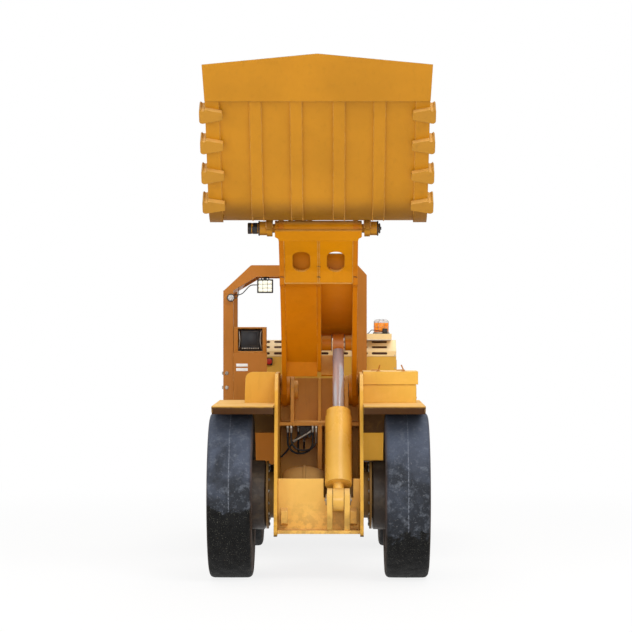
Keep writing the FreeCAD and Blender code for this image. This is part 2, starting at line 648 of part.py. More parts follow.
def bucket_wear_strips():
    """Wear strips under the floor that follow it round the heel: four inside, two along the edges."""
    low = BUCKET_FLOOR_Z
    start = BUCKET_LIP_Y + LIP_DEPTH + 1
    back = BUCKET_LIP_Y + BUCKET_FLAT + BUCKET_HEEL_RADIUS
    thick = 18
    ring = [(start, low - thick), (back + thick, low - thick, BUCKET_HEEL_RADIUS + thick),
            (back + thick, low + BUCKET_HEEL_RADIUS), (back, low + BUCKET_HEEL_RADIUS),
            (back, low, BUCKET_HEEL_RADIUS), (start, low)]
    strips = []
    for x, width in ((-463, 78), (-186, 78), (108, 78), (385, 78), (-BUCKET_HALF, EDGE_STRIP),
                     (BUCKET_HALF - EDGE_STRIP, EDGE_STRIP)):
        strip = plate_x(ring, x, x + width)
        end = low + (105 if width == EDGE_STRIP else 34)
        strips.append(in_bucket(strip.cut(box(x - 1, x + width + 1, start, back + 99, end, low + 999))))
    return Part.makeCompound(strips)


def bucket_castings():
    """Wear shoes wrapped round the floor's two long edges; the last one sits on the heel's bend."""
    low = BUCKET_FLOOR_Z - 18
    length = 124
    bend_y = BUCKET_LIP_Y + BUCKET_FLAT
    bend = V(0, bend_y, BUCKET_FLOOR_Z + BUCKET_HEEL_RADIUS)
    shoes = []
    for i in range(4):
        y0 = BUCKET_LIP_Y + 300 + 245 * i
        past = max(0, y0 + length / 2 - bend_y)
        y0 = y0 - past
        face = plate_z([(CASTING_HALF - 158, y0 + 32, 8), (CASTING_HALF - 158, y0 + length - 34, 8),
                        (CASTING_HALF, y0 + length, 22), (CASTING_HALF, y0, 22)],
                       low - LIP_THICK, low + 78)
        block = face.cut(box(0, BUCKET_HALF + SEAT_GAP, y0 - 1, y0 + length + 1, low, low + 131))
        notch = rod_z(low - 40, low + 131, BUCKET_HALF + 14, y0 + 4, 16)
        block = block.cut(notch)
        block.rotate(bend, V(1, 0, 0), math.degrees(past / BUCKET_HEEL_RADIUS))
        shoes += both_sides(in_bucket(block))
    return Part.makeCompound(shoes)


def bucket_hinge():
    """Outer hinge lugs with their pins; the left pin carries a long notched keeper."""
    wall = BUCKET_LIP_Y + BUCKET_FLAT + BUCKET_HEEL_RADIUS
    lug = plate_x([(wall, -140), (-40, -58, 50), (58, -58, 56), (58, 62, 56), (wall + 90, 330, 60),
                   (wall, 360)],
                  LUG_IN, LUG_OUT)
    boss = rod_x(LUG_OUT, LUG_BOSS_OUT, 0, 0, 50)
    pin = rod_x(COLLAR_IN + 40, LUG_BOSS_OUT + 10, 0, 0, BUCKET_PIN_RADIUS)
    right = union([lug, boss, pin])
    keeper = rod_x(-LUG_BOSS_OUT - 82, -LUG_BOSS_OUT + 1, 0, 0, 39)
    keeper = keeper.cut(box(-LUG_BOSS_OUT - 50, -LUG_BOSS_OUT - 38, -40, 40, -40, -22))
    left = union([mirrored(right), keeper])
    return [in_bucket(right), in_bucket(left)]


def dump_eye():
    """(y, z) of the dump cylinder's pin in the bucket's own axes."""
    angle = math.radians(BUCKET_FLOOR_ANGLE - BOOM_SLOPE + DUMP_CRANK_ANGLE)
    return DUMP_CRANK * math.cos(angle), DUMP_CRANK * math.sin(angle)


def bucket_dump_ears():
    """Two ears either side of the dump cylinder's eye."""
    wall = BUCKET_LIP_Y + BUCKET_FLAT + BUCKET_HEEL_RADIUS
    y, z = dump_eye()
    ears = []
    for x in (DUMP_X - 86, DUMP_X + 50):
        ear = plate_x([(wall, z - 62), (y + 62, z - 62, 60), (y + 62, z + 62, 60), (wall + 40, z + 210),
                       (wall, z + 210)], x, x + 36)
        ears.append(in_bucket(ear))
    return ears


# ---------------------------------------------------------------- cylinders

def aimed(shape, y, z, to_y, to_z):
    """Moves a cylinder drawn along +Y from the origin so that it points from (y, z) to (to_y, to_z)."""
    return placed(shape, y, z, -math.degrees(math.atan2(to_z - z, to_y - y)))


def barrel(x, radius, start, length, foot_radius, foot_half, rod_radius, pin_radius):
    """Cylinder tube with its bored foot eye and gland, along +Y from the foot pin."""
    foot = rod_x(x - foot_half, x + foot_half, 0, 0, foot_radius)
    neck = rod_y(30, start + 10, x, 0, min(foot_radius * 0.85, foot_half))
    tube = rod_y(start, length - 50, x, 0, radius)
    gland = rod_y(length - 50, length, x, 0, radius - 8)
    body = union([foot, neck, tube, gland])
    body = body.cut(rod_x(x - foot_half - 1, x + foot_half + 1, 0, 0, pin_radius + RUNNING))
    return body.cut(rod_y(start + 5, length + 1, x, 0, rod_radius + SEAT_GAP))


def ram(x, length, inside, radius, eye_radius, eye_half):
    """Rod from its end inside the barrel to its eye, which carries its own pin."""
    bar = rod_y(inside, length, x, 0, radius)
    eye = rod_x(x - eye_half, x + eye_half, length, 0, eye_radius)
    return union([bar, eye])


def lift_parts():
    """Barrel and rod of the lift cylinder."""
    length = math.hypot(LIFT_EYE_Y - LIFT_BASE_Y, LIFT_EYE_Z - LIFT_BASE_Z)
    tube = barrel(LIFT_X, LIFT_BARREL_RADIUS, 125, LIFT_BARREL_LENGTH, 85, 40, LIFT_ROD_RADIUS,
                  LIFT_PIN_RADIUS)
    bar = ram(LIFT_X, length, LIFT_BARREL_LENGTH - 40, LIFT_ROD_RADIUS, 71, 42)
    ends = (LIFT_BASE_Y, LIFT_BASE_Z, LIFT_EYE_Y, LIFT_EYE_Z)
    return aimed(tube, *ends), aimed(bar, *ends)


def dump_parts():
    """Barrel and rod of the dump cylinder."""
    y, z = dump_eye()
    slope = math.radians(BUCKET_FLOOR_ANGLE)
    eye_y = BUCKET_PIN_Y + y * math.cos(slope) + z * math.sin(slope)
    eye_z = BUCKET_PIN_Z - y * math.sin(slope) + z * math.cos(slope)
    length = math.hypot(eye_y - LIFT_EYE_Y, eye_z - LIFT_EYE_Z)
    tube = barrel(DUMP_X, DUMP_BARREL_RADIUS, 100, DUMP_BARREL_LENGTH, 75, 60, DUMP_ROD_RADIUS,
                  LIFT_PIN_RADIUS)
    bar = ram(DUMP_X, length, DUMP_BARREL_LENGTH - 330, DUMP_ROD_RADIUS, 60, 42)
    ends = (LIFT_EYE_Y, LIFT_EYE_Z, eye_y, eye_z)
    return aimed(tube, *ends), aimed(bar, *ends)


def steer_parts():
    """Barrel and rod of the right steering cylinder, from the rear frame to the front frame."""
    dx = STEER_FRONT_X - STEER_REAR_X
    dy = STEER_FRONT_Y - STEER_REAR_Y
    length = math.hypot(dx, dy)
    swing = math.degrees(math.atan2(-dx, dy))
    shapes = []
    tube = union([rod_z(-38, 38, 0, 0, 42), rod_y(25, 85, 0, 0, 34),
                  rod_y(75, 420, 0, 0, STEER_BARREL_RADIUS)])
    tube = tube.cut(rod_z(-40, 40, 0, 0, STEER_PIN_RADIUS + RUNNING))
    tube = tube.cut(rod_y(90, 421, 0, 0, STEER_ROD_RADIUS + SEAT_GAP))
    bar = union([rod_y(280, length, 0, 0, STEER_ROD_RADIUS), rod_z(-32, 32, 0, length, 38)])
    for shape in (tube, bar):
        turn = FreeCAD.Rotation(V(0, 0, 1), swing)
        shape.Placement = FreeCAD.Placement(V(STEER_REAR_X, STEER_REAR_Y, STEER_Z),
                                            turn).multiply(shape.Placement)
        shapes.append(shape)
    return shapes


def steer_bracket(y_wall, pin_y, x, eye_held):
    """Pair of plates from a wall to a steering eye, with a pin where the eye turns on it."""
    pieces = []
    side = 1 if y_wall > pin_y else -1
    for z in (STEER_Z - 66, STEER_Z + 42):
        pieces.append(plate_z([(x - 60, y_wall), (x - 40, pin_y - 36 * side, 30),
                               (x + 40, pin_y - 36 * side, 30),
                               (x + 60, y_wall)], z, z + 24))
    if eye_held:
        pieces.append(rod_z(STEER_Z - 60, STEER_Z + 60, x, pin_y, STEER_PIN_RADIUS))
        return union(pieces)
    return Part.makeCompound(pieces)


# ---------------------------------------------------------------- rear frame

REAR_WALL_Y = HINGE_Y + 600.0
NOSE_Y = HINGE_Y + 200.0
NOSE_HALF = 90.0


def rear_hinge_lugs():
    """Two lug pairs that hold the front frame's hinge pins."""
    lugs = []
    for z in (HINGE_UPPER_Z, HINGE_LOWER_Z):
        for low in (z - HINGE_LUG / 2 - 5 - 30, z + HINGE_LUG / 2 + 5):
            lug = plate_z([(-88, HINGE_Y - 88, 80), (-NOSE_HALF, NOSE_Y), (NOSE_HALF, NOSE_Y),
                           (88, HINGE_Y - 88, 80)],
                          low, low + 30)
            lugs.append(lug.cut(rod_z(low - 1, low + 31, 0, HINGE_Y, HINGE_PIN_RADIUS + RUNNING)))
    return lugs


def rear_chassis():
    """Nose box, cross wall and the two long side plates."""
    low = HINGE_LOWER_Z - 60
    high = HINGE_UPPER_Z + 60
    nose = []
    for x in (-NOSE_HALF, NOSE_HALF - 20):
        nose.append(box(x, x + 20, NOSE_Y, REAR_WALL_Y, low, high))
    wall = box(-FRAME_HALF, FRAME_HALF, REAR_WALL_Y, REAR_WALL_Y + PLATE, low, high)
    wall = wall.cut(rod_y(REAR_WALL_Y - 1, REAR_WALL_Y + PLATE + 1, 0, WHEEL_Z, 65))
    side = plate_x([(REAR_WALL_Y + PLATE, low), (REAR_WALL_Y + PLATE, high), (REAR_END_Y - 240, high),
                    (REAR_END_Y - 240, 560, 60), (REAR_AXLE_Y + 300, low + 40,
                                                  60)], FRAME_HALF - PLATE, FRAME_HALF)
    side = side.cut(rod_x(0, 400, REAR_AXLE_Y, WHEEL_Z, 130 + SEAT_GAP))
    tie = box(-FRAME_HALF + PLATE, FRAME_HALF - PLATE, REAR_END_Y - 300, REAR_END_Y - 240, 620, high)
    return union(nose + [wall, side, mirrored(side), tie] + rear_hinge_lugs())


def bumper():
    """Counterweight across the tail with its tow hitch and lamp pockets."""
    y0 = REAR_END_Y - 240
    body = plate_z([(-800, y0), (-800, REAR_END_Y - 90, 60), (-520, REAR_END_Y, 60), (520, REAR_END_Y, 60),
                    (800, REAR_END_Y - 90, 60), (800, y0)], 560, 1240)
    body = body.cut(box(-430, 430, y0 - 1, REAR_END_Y + 1, 760, 1160))
    hitch = box(-90, 90, REAR_END_Y - 150, REAR_END_Y + 1, 600, 700)
    body = body.cut(hitch)
    return body.cut(rod_z(550, 760, 0, REAR_END_Y - 70, 26))


def cab_tub():
    """Operator's compartment left of the hinge, open at the top and on the outer side."""
    y0 = CAB_FRONT_Y + 20
    y1 = REAR_WALL_Y
    front = box(CANOPY_LEFT + 82, -100, y0, y0 + 12, CAB_FLOOR_Z, 1666)
    front = front.cut(box(-430, -90, y0 - 1, y0 + 13, 1320, 1700))
    floor = box(CAB_LEFT, -100, y0, y1, CAB_FLOOR_Z - 20, CAB_FLOOR_Z)
    post_y = CANOPY_FRONT_Y + 75
    rear = box(CAB_LEFT, -100, y1 - 12, y1, CAB_FLOOR_Z, 1420)
    inner = box(-112, -100, y0, y1, CAB_FLOOR_Z, 1280)
    outer = box(CAB_LEFT, CAB_LEFT + 12, post_y, y1, CAB_FLOOR_Z, 1020)
    return union([front, floor, rear, inner, outer])


def seat_frame():
    """Seat base and back shell, facing across the machine."""
    y0 = HINGE_Y + 236
    y1 = y0 + 346
    base = box(-700, -430, y0 + 30, y1 - 30, CAB_FLOOR_Z, 1010)
    pan = box(-740, -340, y0, y1, 1010, 1030)
    back = plate_y([(-745, 1030), (-775, 1500), (-755, 1500), (-725, 1030)], y0, y1)
    return union([base, pan, back])


def seat_cushions():
    """Seat pad and back pad."""
    y0 = HINGE_Y + 244
    y1 = y0 + 330
    pad = box(-700, -345, y0, y1, 1030 + SEAT_GAP, 1110)
    back = plate_y([(-719, 1110 + SEAT_GAP), (-743, 1485), (-680, 1485), (-655, 1110 + SEAT_GAP)], y0, y1)
    return Part.makeCompound([pad, back])


def canopy():
    """Roof with chamfered corners on four posts."""
    y0 = CANOPY_FRONT_Y
    y1 = y0 + CANOPY_LENGTH
    over = [(CANOPY_LEFT, CANOPY_TOP_Z - 210), (CANOPY_LEFT + 225, CANOPY_TOP_Z, 20),
            (CANOPY_RIGHT - 72, CANOPY_TOP_Z, 20), (CANOPY_RIGHT, CANOPY_TOP_Z - 80, 10)]
    under = [(CANOPY_RIGHT, CANOPY_TOP_Z - 94), (CANOPY_LEFT + 270, CANOPY_TOP_Z - 94),
             (CANOPY_LEFT + 40, CANOPY_TOP_Z - 230)]
    roof = plate_y(over + under, y0, y1)
    hollow = plate_y([(CANOPY_LEFT + 60, CANOPY_TOP_Z - 260), (CANOPY_LEFT + 250, CANOPY_TOP_Z - 14),
                      (CANOPY_RIGHT - 70, CANOPY_TOP_Z - 14), (CANOPY_RIGHT - 70, CANOPY_TOP_Z - 300)],
                     y0 + 75, y1 - 75)
    roof = roof.cut(hollow)
    posts = []
    for y in (y0, y1 - 75):
        posts.append(box(CANOPY_LEFT, CANOPY_LEFT + CANOPY_POST, y, y + 75, HOOD_BOTTOM_Z,
                         CANOPY_TOP_Z - 205))
        foot = TANK_TOP_Z if y == y0 else HOOD_BOTTOM_Z
        posts.append(box(CANOPY_RIGHT - 75, CANOPY_RIGHT, y, y + 75, foot, CANOPY_TOP_Z - 90))
    posts[0] = box(CANOPY_LEFT, CANOPY_LEFT + CANOPY_POST, y0, y0 + 75, CAB_FLOOR_Z, CANOPY_TOP_Z - 205)
    return union([roof] + posts)


def deck():
    """Flat cover over the nose box that carries the right canopy post."""
    plate = box(-98, TANK_IN, HINGE_Y + 210, REAR_WALL_Y + PLATE, 1095, 1120)
    leg = box(-98, TANK_IN, REAR_WALL_Y, REAR_WALL_Y + PLATE, HINGE_UPPER_Z + 60, 1095)
    return union([plate, leg])


def side_tank():
    """Hydraulic tank right of the hinge."""
    y0 = HINGE_Y + 150
    return plate_x([(y0, 780, 30), (y0, TANK_TOP_Z, 30), (HINGE_Y + 600, TANK_TOP_Z, 30),
                    (HINGE_Y + 600, 780, 30)], TANK_IN, 780)


def monitor_housing():
    """Instrument housing above the compartment's front wall, with a recessed screen."""
    y0 = CAB_FRONT_Y + 20
    body = box(-700, -436, y0, y0 + 150, 1666, 1873)
    return body.cut(box(-665, -535, y0 - 1, y0 + 25, 1700, 1840))


def rear_fender():
    """Right rear fender and running board over the tyre."""
    top = box(FRAME_HALF, 800, HINGE_Y + 640, REAR_END_Y - 240, HOOD_BOTTOM_Z - 12, HOOD_BOTTOM_Z)
    brace = box(FRAME_HALF, FRAME_HALF + 12, HINGE_Y + 640, REAR_END_Y - 240, HINGE_UPPER_Z + 60,
                HOOD_BOTTOM_Z - 12)
    return union([top, brace])


def engine_hood():
    """Hood shell, sloping down to the tail, open below and at the side doors."""
    y0 = HOOD_FRONT_Y
    y1 = REAR_END_Y - 245
    outside = plate_x([(y0, HOOD_BOTTOM_Z), (y0, HOOD_TOP_Z - 95, 10), (y0 + 130, HOOD_TOP_Z, 40),
                       (y1, HOOD_REAR_TOP_Z, 60), (y1, HOOD_BOTTOM_Z)], -HOOD_HALF, HOOD_HALF)
    inside = plate_x([(y0 + 10, HOOD_BOTTOM_Z - 1), (y0 + 10, HOOD_TOP_Z - 100), (y0 + 135, HOOD_TOP_Z - 12),
                      (y1 - 10, HOOD_REAR_TOP_Z - 12), (y1 - 10, HOOD_BOTTOM_Z - 1)],
                     -HOOD_HALF + 10, HOOD_HALF - 10)
    hood = outside.cut(inside)
    for x in LOUVRE_X:
        for row in range(3):
            z = HOOD_TOP_Z - 122 - LOUVRE_PITCH * row
            hood = hood.cut(box(x, x + LOUVRE_WIDTH, y0 - 1, y0 + 20, z, z + 22))
    window = box(-HOOD_HALF - 1, HOOD_HALF + 1, HOOD_FRONT_Y + 250, HOOD_FRONT_Y + 950,
                 HOOD_BOTTOM_Z + 30, 1570)
    return hood.cut(window)


def hood_door():
    """Right side door of the hood."""
    return box(HOOD_HALF + SEAT_GAP, HOOD_HALF + 10, HOOD_FRONT_Y + 235, HOOD_FRONT_Y + 965,
               HOOD_BOTTOM_Z + 12, 1585)


def engine_block():
    """Engine with its transmission as one plain block on the chassis."""
    engine = box(-300, 300, HOOD_FRONT_Y + 120, REAR_END_Y - 420, 870, 1480)
    gearbox = box(-180, 180, REAR_WALL_Y + 60, HOOD_FRONT_Y + 120, 870, 1180)
    feet = box(-FRAME_HALF + PLATE, FRAME_HALF - PLATE, HOOD_FRONT_Y + 300, HOOD_FRONT_Y + 380, 870, 950)
    return union([engine, gearbox, feet])


def radiator():
    """Radiator core and grille frame in the tail."""
    core = box(-325, 325, REAR_END_Y - 300, REAR_END_Y - 262, HINGE_UPPER_Z + 60, 1480)
    return core


def drive_shaft(y0, y1, x=0):
    """Tube shaft with a flange at each end."""
    return union([rod_y(y0, y1, x, WHEEL_Z, 38), rod_y(y0, y0 + 30, x, WHEEL_Z, 60),
                  rod_y(y1 - 30, y1, x, WHEEL_Z, 60)])


def universal_joint():
    """Ball of the shaft joint under the hinge, with its stub."""
    ball = Part.makeSphere(50, V(0, HINGE_Y, WHEEL_Z))
    return union([ball, rod_y(HINGE_Y - 62, HINGE_Y - 20, 0, WHEEL_Z, 38)])


def beacon():
    """Base block and lens of the amber beacon on the hood's front right corner."""
    base = box(378, 600, HOOD_FRONT_Y - 60, HOOD_FRONT_Y + 200, 1762, 1812)
    lens = rod_z(1812, 1935, 500, HOOD_FRONT_Y + 60, 62)
    return base, lens


def canopy_lamp():
    """LED work lamp hung under the canopy's front edge."""
    y0 = CANOPY_FRONT_Y + 10
    return box(LAMP_LEFT, LAMP_LEFT + 130, y0, y0 + 60, CANOPY_TOP_Z - 94 - 132, CANOPY_TOP_Z - 94)


def lamp_cable():
    """Cable from the work lamp to the left front post, under the canopy's sloping beam."""
    y = CANOPY_FRONT_Y + 38
    z = CANOPY_TOP_Z - 160
    return hose([(LAMP_LEFT, y, z), (LAMP_LEFT - 55, y, z), (LAMP_LEFT - 129, y, z - 80),
                 (CANOPY_LEFT + CANOPY_POST, y, z - 80)], 4)


# ---------------------------------------------------------------- assembly

WHEEL_PLACES = {
    "front_left": (-TRACK_HALF, FRONT_AXLE_Y),
    "front_right": (TRACK_HALF, FRONT_AXLE_Y),
    "rear_left": (-TRACK_HALF, REAR_AXLE_Y),
    "rear_right": (TRACK_HALF, REAR_AXLE_Y),
}


def all_nodes():
    """Every named piece of the machine."""
    nodes = {}
    for name, (x, y) in WHEEL_PLACES.items():
        nodes["tyre_" + name] = tyre(x, y)
        nodes["rim_" + name] = rim(x, y)
    nodes["front_axle"] = axle(FRONT_AXLE_Y, 125, 212)
    nodes["rear_axle"] = axle(REAR_AXLE_Y, 125, 212)
    side = front_side_plate()
    nodes["front_side_plates"] = Part.makeCompound(both_sides(side))
    feet = steer_bracket(PIVOT_Y + 290, STEER_FRONT_Y, STEER_FRONT_X, False)
    nodes["front_inner_frame"] = union([front_inner_frame()] + both_sides(feet))
    nodes["front_nose_plate"] = union([front_lower_plate()] + both_sides(boom_stop()))
    nodes["hydraulic_hoses"] = hydraulic_hoses()
    nodes["lift_clevis"] = lift_clevis()
    nodes["boom_pivot_pins"] = Part.makeCompound(both_sides(pivot_pin()))
    nodes["front_hinge_lugs"] = front_hinge_lugs()
    nodes["front_fenders"] = Part.makeCompound([fender(), union([mirrored(fender()), guard_plate()])])
    nodes["toolbox"] = toolbox()
    nodes["toolbox_lid"] = toolbox_lid()
    nodes["boom_plates"] = Part.makeCompound(both_sides(boom_side()))
    nodes["boom_web"] = union([boom_web()] + boom_channel_plates())
    nodes["boom_head"] = boom_head()
    nodes["boom_cross_pin"] = boom_cross_pin()
    nodes["bucket_shell"] = bucket_shell()
    sides = bucket_side()
    nodes["bucket_sides"] = Part.makeCompound(both_sides(sides))
    nodes["bucket_lip"] = bucket_lip()
    nodes["bucket_wear_strips"] = bucket_wear_strips()
    nodes["bucket_castings"] = bucket_castings()
    nodes["bucket_hinge_lugs"] = Part.makeCompound(bucket_hinge() + bucket_dump_ears())
    nodes["lift_barrel"], nodes["lift_rod"] = lift_parts()
    nodes["dump_barrel"], nodes["dump_rod"] = dump_parts()
    tube, bar = steer_parts()
    nodes["steer_barrel_right"] = tube
    nodes["steer_rod_right"] = bar
    nodes["steer_barrel_left"] = mirrored(tube)
    nodes["steer_rod_left"] = mirrored(bar)
    feet = steer_bracket(REAR_WALL_Y, STEER_REAR_Y, STEER_REAR_X, True)
    nodes["rear_chassis"] = union([rear_chassis()] + both_sides(feet))
    nodes["bumper"] = bumper()
    nodes["cab_tub"] = cab_tub()
    nodes["seat_frame"] = seat_frame()
    nodes["seat_cushions"] = seat_cushions()
    nodes["canopy"] = canopy()
    nodes["deck"] = deck()
    nodes["side_tank"] = side_tank()
    nodes["monitor_housing"] = monitor_housing()
    nodes["rear_fenders"] = Part.makeCompound(both_sides(rear_fender()))
    nodes["engine_hood"] = engine_hood()
    nodes["hood_door_right"] = hood_door()
    nodes["hood_door_left"] = mirrored(hood_door())
    nodes["engine_block"] = engine_block()
    nodes["radiator"] = radiator()
    nodes["drive_shaft_front"] = union([drive_shaft(FRONT_AXLE_Y + 302, HINGE_Y - 60), universal_joint()])
    nodes["drive_shaft_rear"] = drive_shaft(HINGE_Y + 50 + SEAT_GAP, REAR_AXLE_Y - 302)
    nodes["beacon_base"], nodes["beacon_lens"] = beacon()
    nodes["canopy_lamp"] = canopy_lamp()
    nodes["lamp_cable"] = lamp_cable()
    return nodes


def main():
    os.makedirs("parts", exist_ok=True)
    for name, shape in all_nodes().items():
        if not shape.isValid():
            print("not valid:", name)
        shape.exportStep("parts/" + name + ".step")


main()
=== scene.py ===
import json
import random
from math import atan2, copysign, cos, pi, radians, sin

import bmesh
import bpy
from mathutils import Matrix, Vector

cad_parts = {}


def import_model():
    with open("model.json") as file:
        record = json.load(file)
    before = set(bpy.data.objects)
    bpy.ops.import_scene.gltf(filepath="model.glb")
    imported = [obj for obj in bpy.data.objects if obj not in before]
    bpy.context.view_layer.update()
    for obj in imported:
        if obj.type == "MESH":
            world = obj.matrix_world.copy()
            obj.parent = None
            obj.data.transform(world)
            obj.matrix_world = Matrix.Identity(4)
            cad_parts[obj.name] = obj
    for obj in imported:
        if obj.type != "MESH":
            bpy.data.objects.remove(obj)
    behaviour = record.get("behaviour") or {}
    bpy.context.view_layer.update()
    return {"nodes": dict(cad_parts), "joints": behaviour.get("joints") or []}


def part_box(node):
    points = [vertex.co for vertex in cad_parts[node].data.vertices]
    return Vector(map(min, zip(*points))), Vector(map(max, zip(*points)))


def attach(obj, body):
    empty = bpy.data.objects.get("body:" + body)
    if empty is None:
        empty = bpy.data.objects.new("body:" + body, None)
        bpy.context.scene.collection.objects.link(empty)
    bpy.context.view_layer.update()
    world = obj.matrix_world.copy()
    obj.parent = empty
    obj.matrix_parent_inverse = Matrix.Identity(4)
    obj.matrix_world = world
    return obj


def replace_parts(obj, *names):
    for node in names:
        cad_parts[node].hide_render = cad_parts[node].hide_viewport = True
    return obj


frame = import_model()
HINGES = {j["name"]: j.get("pos_m") for j in frame["joints"]}
NODES = frame["nodes"]

# Sizes shared with the frame, in metres; pairs are (y, z).
AXLE_Y = {"front": -1.02, "rear": 1.52}
WHEEL_Z = 0.62
TYRE_RADIUS = 0.62
TYRE_MIDDLE_X = 0.655
BUCKET_PIN = (-1.82, 2.593)
PIVOT = (-0.42, 1.39)
LIFT_EYE = (-0.67, 1.757)
CLEVIS_PIN = (-1.36, 0.607)
BUCKET_TURN = radians(54)
BOOM_TURN = atan2(BUCKET_PIN[1] - PIVOT[1], PIVOT[0] - BUCKET_PIN[0])
ACROSS, AHEAD, UP = (1, 0, 0), (0, -1, 0), (0, 0, 1)
CORNERS = ("front_left", "front_right", "rear_left", "rear_right")


def link(name, data):
    """New object in the scene."""
    o = bpy.data.objects.new(name, data)
    bpy.context.scene.collection.objects.link(o)
    return o


# ---- materials

class Tree:
    """Short way to write a material's nodes."""

    def __init__(self, owner):
        owner.use_nodes = True
        self.owner = owner
        self.nt = owner.node_tree
        self.nt.nodes.clear()

    def node(self, kind, inputs=(), **settings):
        """New node; inputs holds (socket, value or link) pairs and settings its properties."""
        n = self.nt.nodes.new("ShaderNode" + kind)
        for key, value in settings.items():
            setattr(n, key, value)
        for key, value in dict(inputs).items():
            if hasattr(value, "links"):
                self.nt.links.new(value, n.inputs[key])
            elif n.inputs[key].type == "RGBA":
                n.inputs[key].default_value = (*value[:3], 1)
            else:
                n.inputs[key].default_value = value
        return n

    def coord(self):
        return self.node("TexCoord").outputs["Object"]

    def split(self):
        return self.node("SeparateXYZ", {0: self.coord()}).outputs

    def normal(self):
        return self.node("NewGeometry").outputs["Normal"]

    def math(self, op, a, b=0.0):
        return self.node("Math", {0: a, 1: b}, operation=op).outputs[0]

    def times(self, a, b):
        return self.math("MULTIPLY", a, b)

    def plus(self, a, b):
        return self.math("ADD", a, b)

    def length(self, vector, start=(0, 0, 0)):
        """Distance of a vector from a point."""
        return self.node("VectorMath", {0: vector, 1: start}, operation="DISTANCE").outputs["Value"]

    def noise(self, scale, detail=4.0, rough=0.55, stretch=None, distortion=0.0):
        vector = self.coord()
        if stretch:
            vector = self.node("Mapping", {"Vector": vector, "Scale": stretch}).outputs[0]
        return self.node("TexNoise", {"Vector": vector, "Scale": scale, "Detail": detail, "Roughness": rough,
                                      "Distortion": distortion}).outputs["Fac"]

    def ramp(self, value, low, high, to_low=0.0, to_high=1.0):
        return self.node("MapRange", {"Value": value, "From Min": low, "From Max": high, "To Min": to_low,
                                      "To Max": to_high}, interpolation_type="SMOOTHSTEP").outputs[0]

    def mix(self, factor, a, b):
        return self.node("Mix", {0: factor, 6: a, 7: b}, data_type="RGBA").outputs[2]

    def lay(self, colour, over, mask, amount):
        """Lays one colour over another where mask is 1, at a strength."""
        return self.mix(self.times(mask, amount), colour, over)

    def edge(self, radius):
        """1 near an edge of the mesh, 0 on a flat face, and the rounded normal itself."""
        bevel = self.node("Bevel", {"Radius": radius}, samples=6).outputs[0]
        dot = self.node("VectorMath", {0: bevel, 1: self.normal()}, operation="DOT_PRODUCT")
        return self.ramp(dot.outputs["Value"], 0.995, 0.8), bevel

    def bump(self, height, strength, distance, normal=None):
        inputs = {"Strength": strength, "Distance": distance, "Height": height}
        if normal is not None:
            inputs["Normal"] = normal
        return self.node("Bump", inputs).outputs[0]

    def finish(self, shader, kind="Material"):
        out = self.node("Output" + kind)
        self.nt.links.new(shader.outputs[0], out.inputs["Surface"])
        return self.owner

    def surface(self, **sockets):
        return self.finish(self.node("BsdfPrincipled", {k.replace("_", " "): v for k, v in sockets.items()}))


def material(name):
    return Tree(bpy.data.materials.new(name))


def srgb(r, g, b):
    def line(c):
        c /= 255
        return c / 12.92 if c <= 0.04045 else ((c + 0.055) / 1.055) ** 2.4
    return (line(r), line(g), line(b))


def tinted(colour, by, plus=0.0):
    return tuple(min(1, c * by + plus) for c in colour)


def paint(name, base, worn, dust, dust_amount=0.5, grime=0.35, rough=0.42, chips=0.3, mud=None,
          under=None, shine=0.2, shaded_below=None):
    """Sprayed machine paint: cloudy tone, dust on what faces up, rubbed edges, chips, orange peel and painted
    shade.

    mud is the height below which it is muddy; the last argument is the height below which a painted shade
    turns it dark brown; under holds a strength and the two upward parts of the normal between which faces
    that look down take a painted shade of dark brown."""
    t = material(name)
    base, worn, dust = (srgb(*c) for c in (base, worn, dust))
    cloud = t.noise(1.7, 5.0, 0.6)
    patch = t.noise(9.0, 4.0, 0.6, distortion=0.4)
    streak = t.noise(6.0, 5.0, 0.6, (5.0, 5.0, 0.7))
    height = t.split()[2]
    facing = t.node("SeparateXYZ", {0: t.normal()}).outputs[2]
    colour = t.mix(t.ramp(cloud, 0.35, 0.68), base, tinted(base, 0.88))
    colour = t.lay(colour, worn, t.ramp(patch, 0.45, 0.75), 0.35)
    colour = t.lay(colour, tinted(base, 0.6), t.ramp(streak, 0.52, 0.75), grime)
    up = t.times(t.ramp(facing, 0.25, 0.95), t.ramp(t.noise(5.0, 5.0, 0.65), 0.25, 0.62, 0.45, 1.0))
    colour = t.lay(colour, dust, up, dust_amount)
    # Painted shade: faces that look down turn dark brown.
    if under:
        amount, start, full = under
        shade = t.times(t.ramp(facing, start, full), t.ramp(patch, 0.2, 0.6, 0.85, 1.0))
        colour = t.lay(colour, srgb(44, 22, 8), shade, amount)
    if mud:
        muddy = t.times(t.ramp(height, mud, mud - 0.45), t.ramp(t.noise(14.0, 6.0, 0.7), 0.42, 0.6))
        colour = t.lay(colour, srgb(124, 92, 50), muddy, 0.5)
    # Painted shade: below the given height the paint turns dark brown, for the shade under a lip.
    if shaded_below:
        brown = t.times(t.ramp(height, shaded_below + 0.002, shaded_below - 0.006), t.ramp(patch, 0.2, 0.5, 0.7, 1.0))
        colour = t.lay(colour, srgb(84, 52, 22), brown, 0.85)
    edge, soft = t.edge(0.006)
    colour = t.lay(colour, dust, t.times(edge, t.ramp(t.noise(26.0, 4.0, 0.7), 0.4, 0.62)), 0.5)
    chip = t.times(t.ramp(t.noise(38.0, 6.0, 0.75), 0.665, 0.7), t.ramp(patch, 0.45, 0.6))
    colour = t.lay(colour, srgb(70, 45, 30), chip, chips)
    gloss = t.plus(t.times(up, 0.22), t.ramp(cloud, 0.3, 0.7, rough - 0.06, rough + 0.1))
    relief = t.plus(t.times(t.noise(90.0, 3.0, 0.6), 0.5), t.times(chip, -0.6))
    return t.surface(Base_Color=colour, Roughness=t.math("MINIMUM", gloss, 0.9), Metallic=0.0,
                     Specular_IOR_Level=shine, Normal=t.bump(relief, 0.25, 0.002, soft))


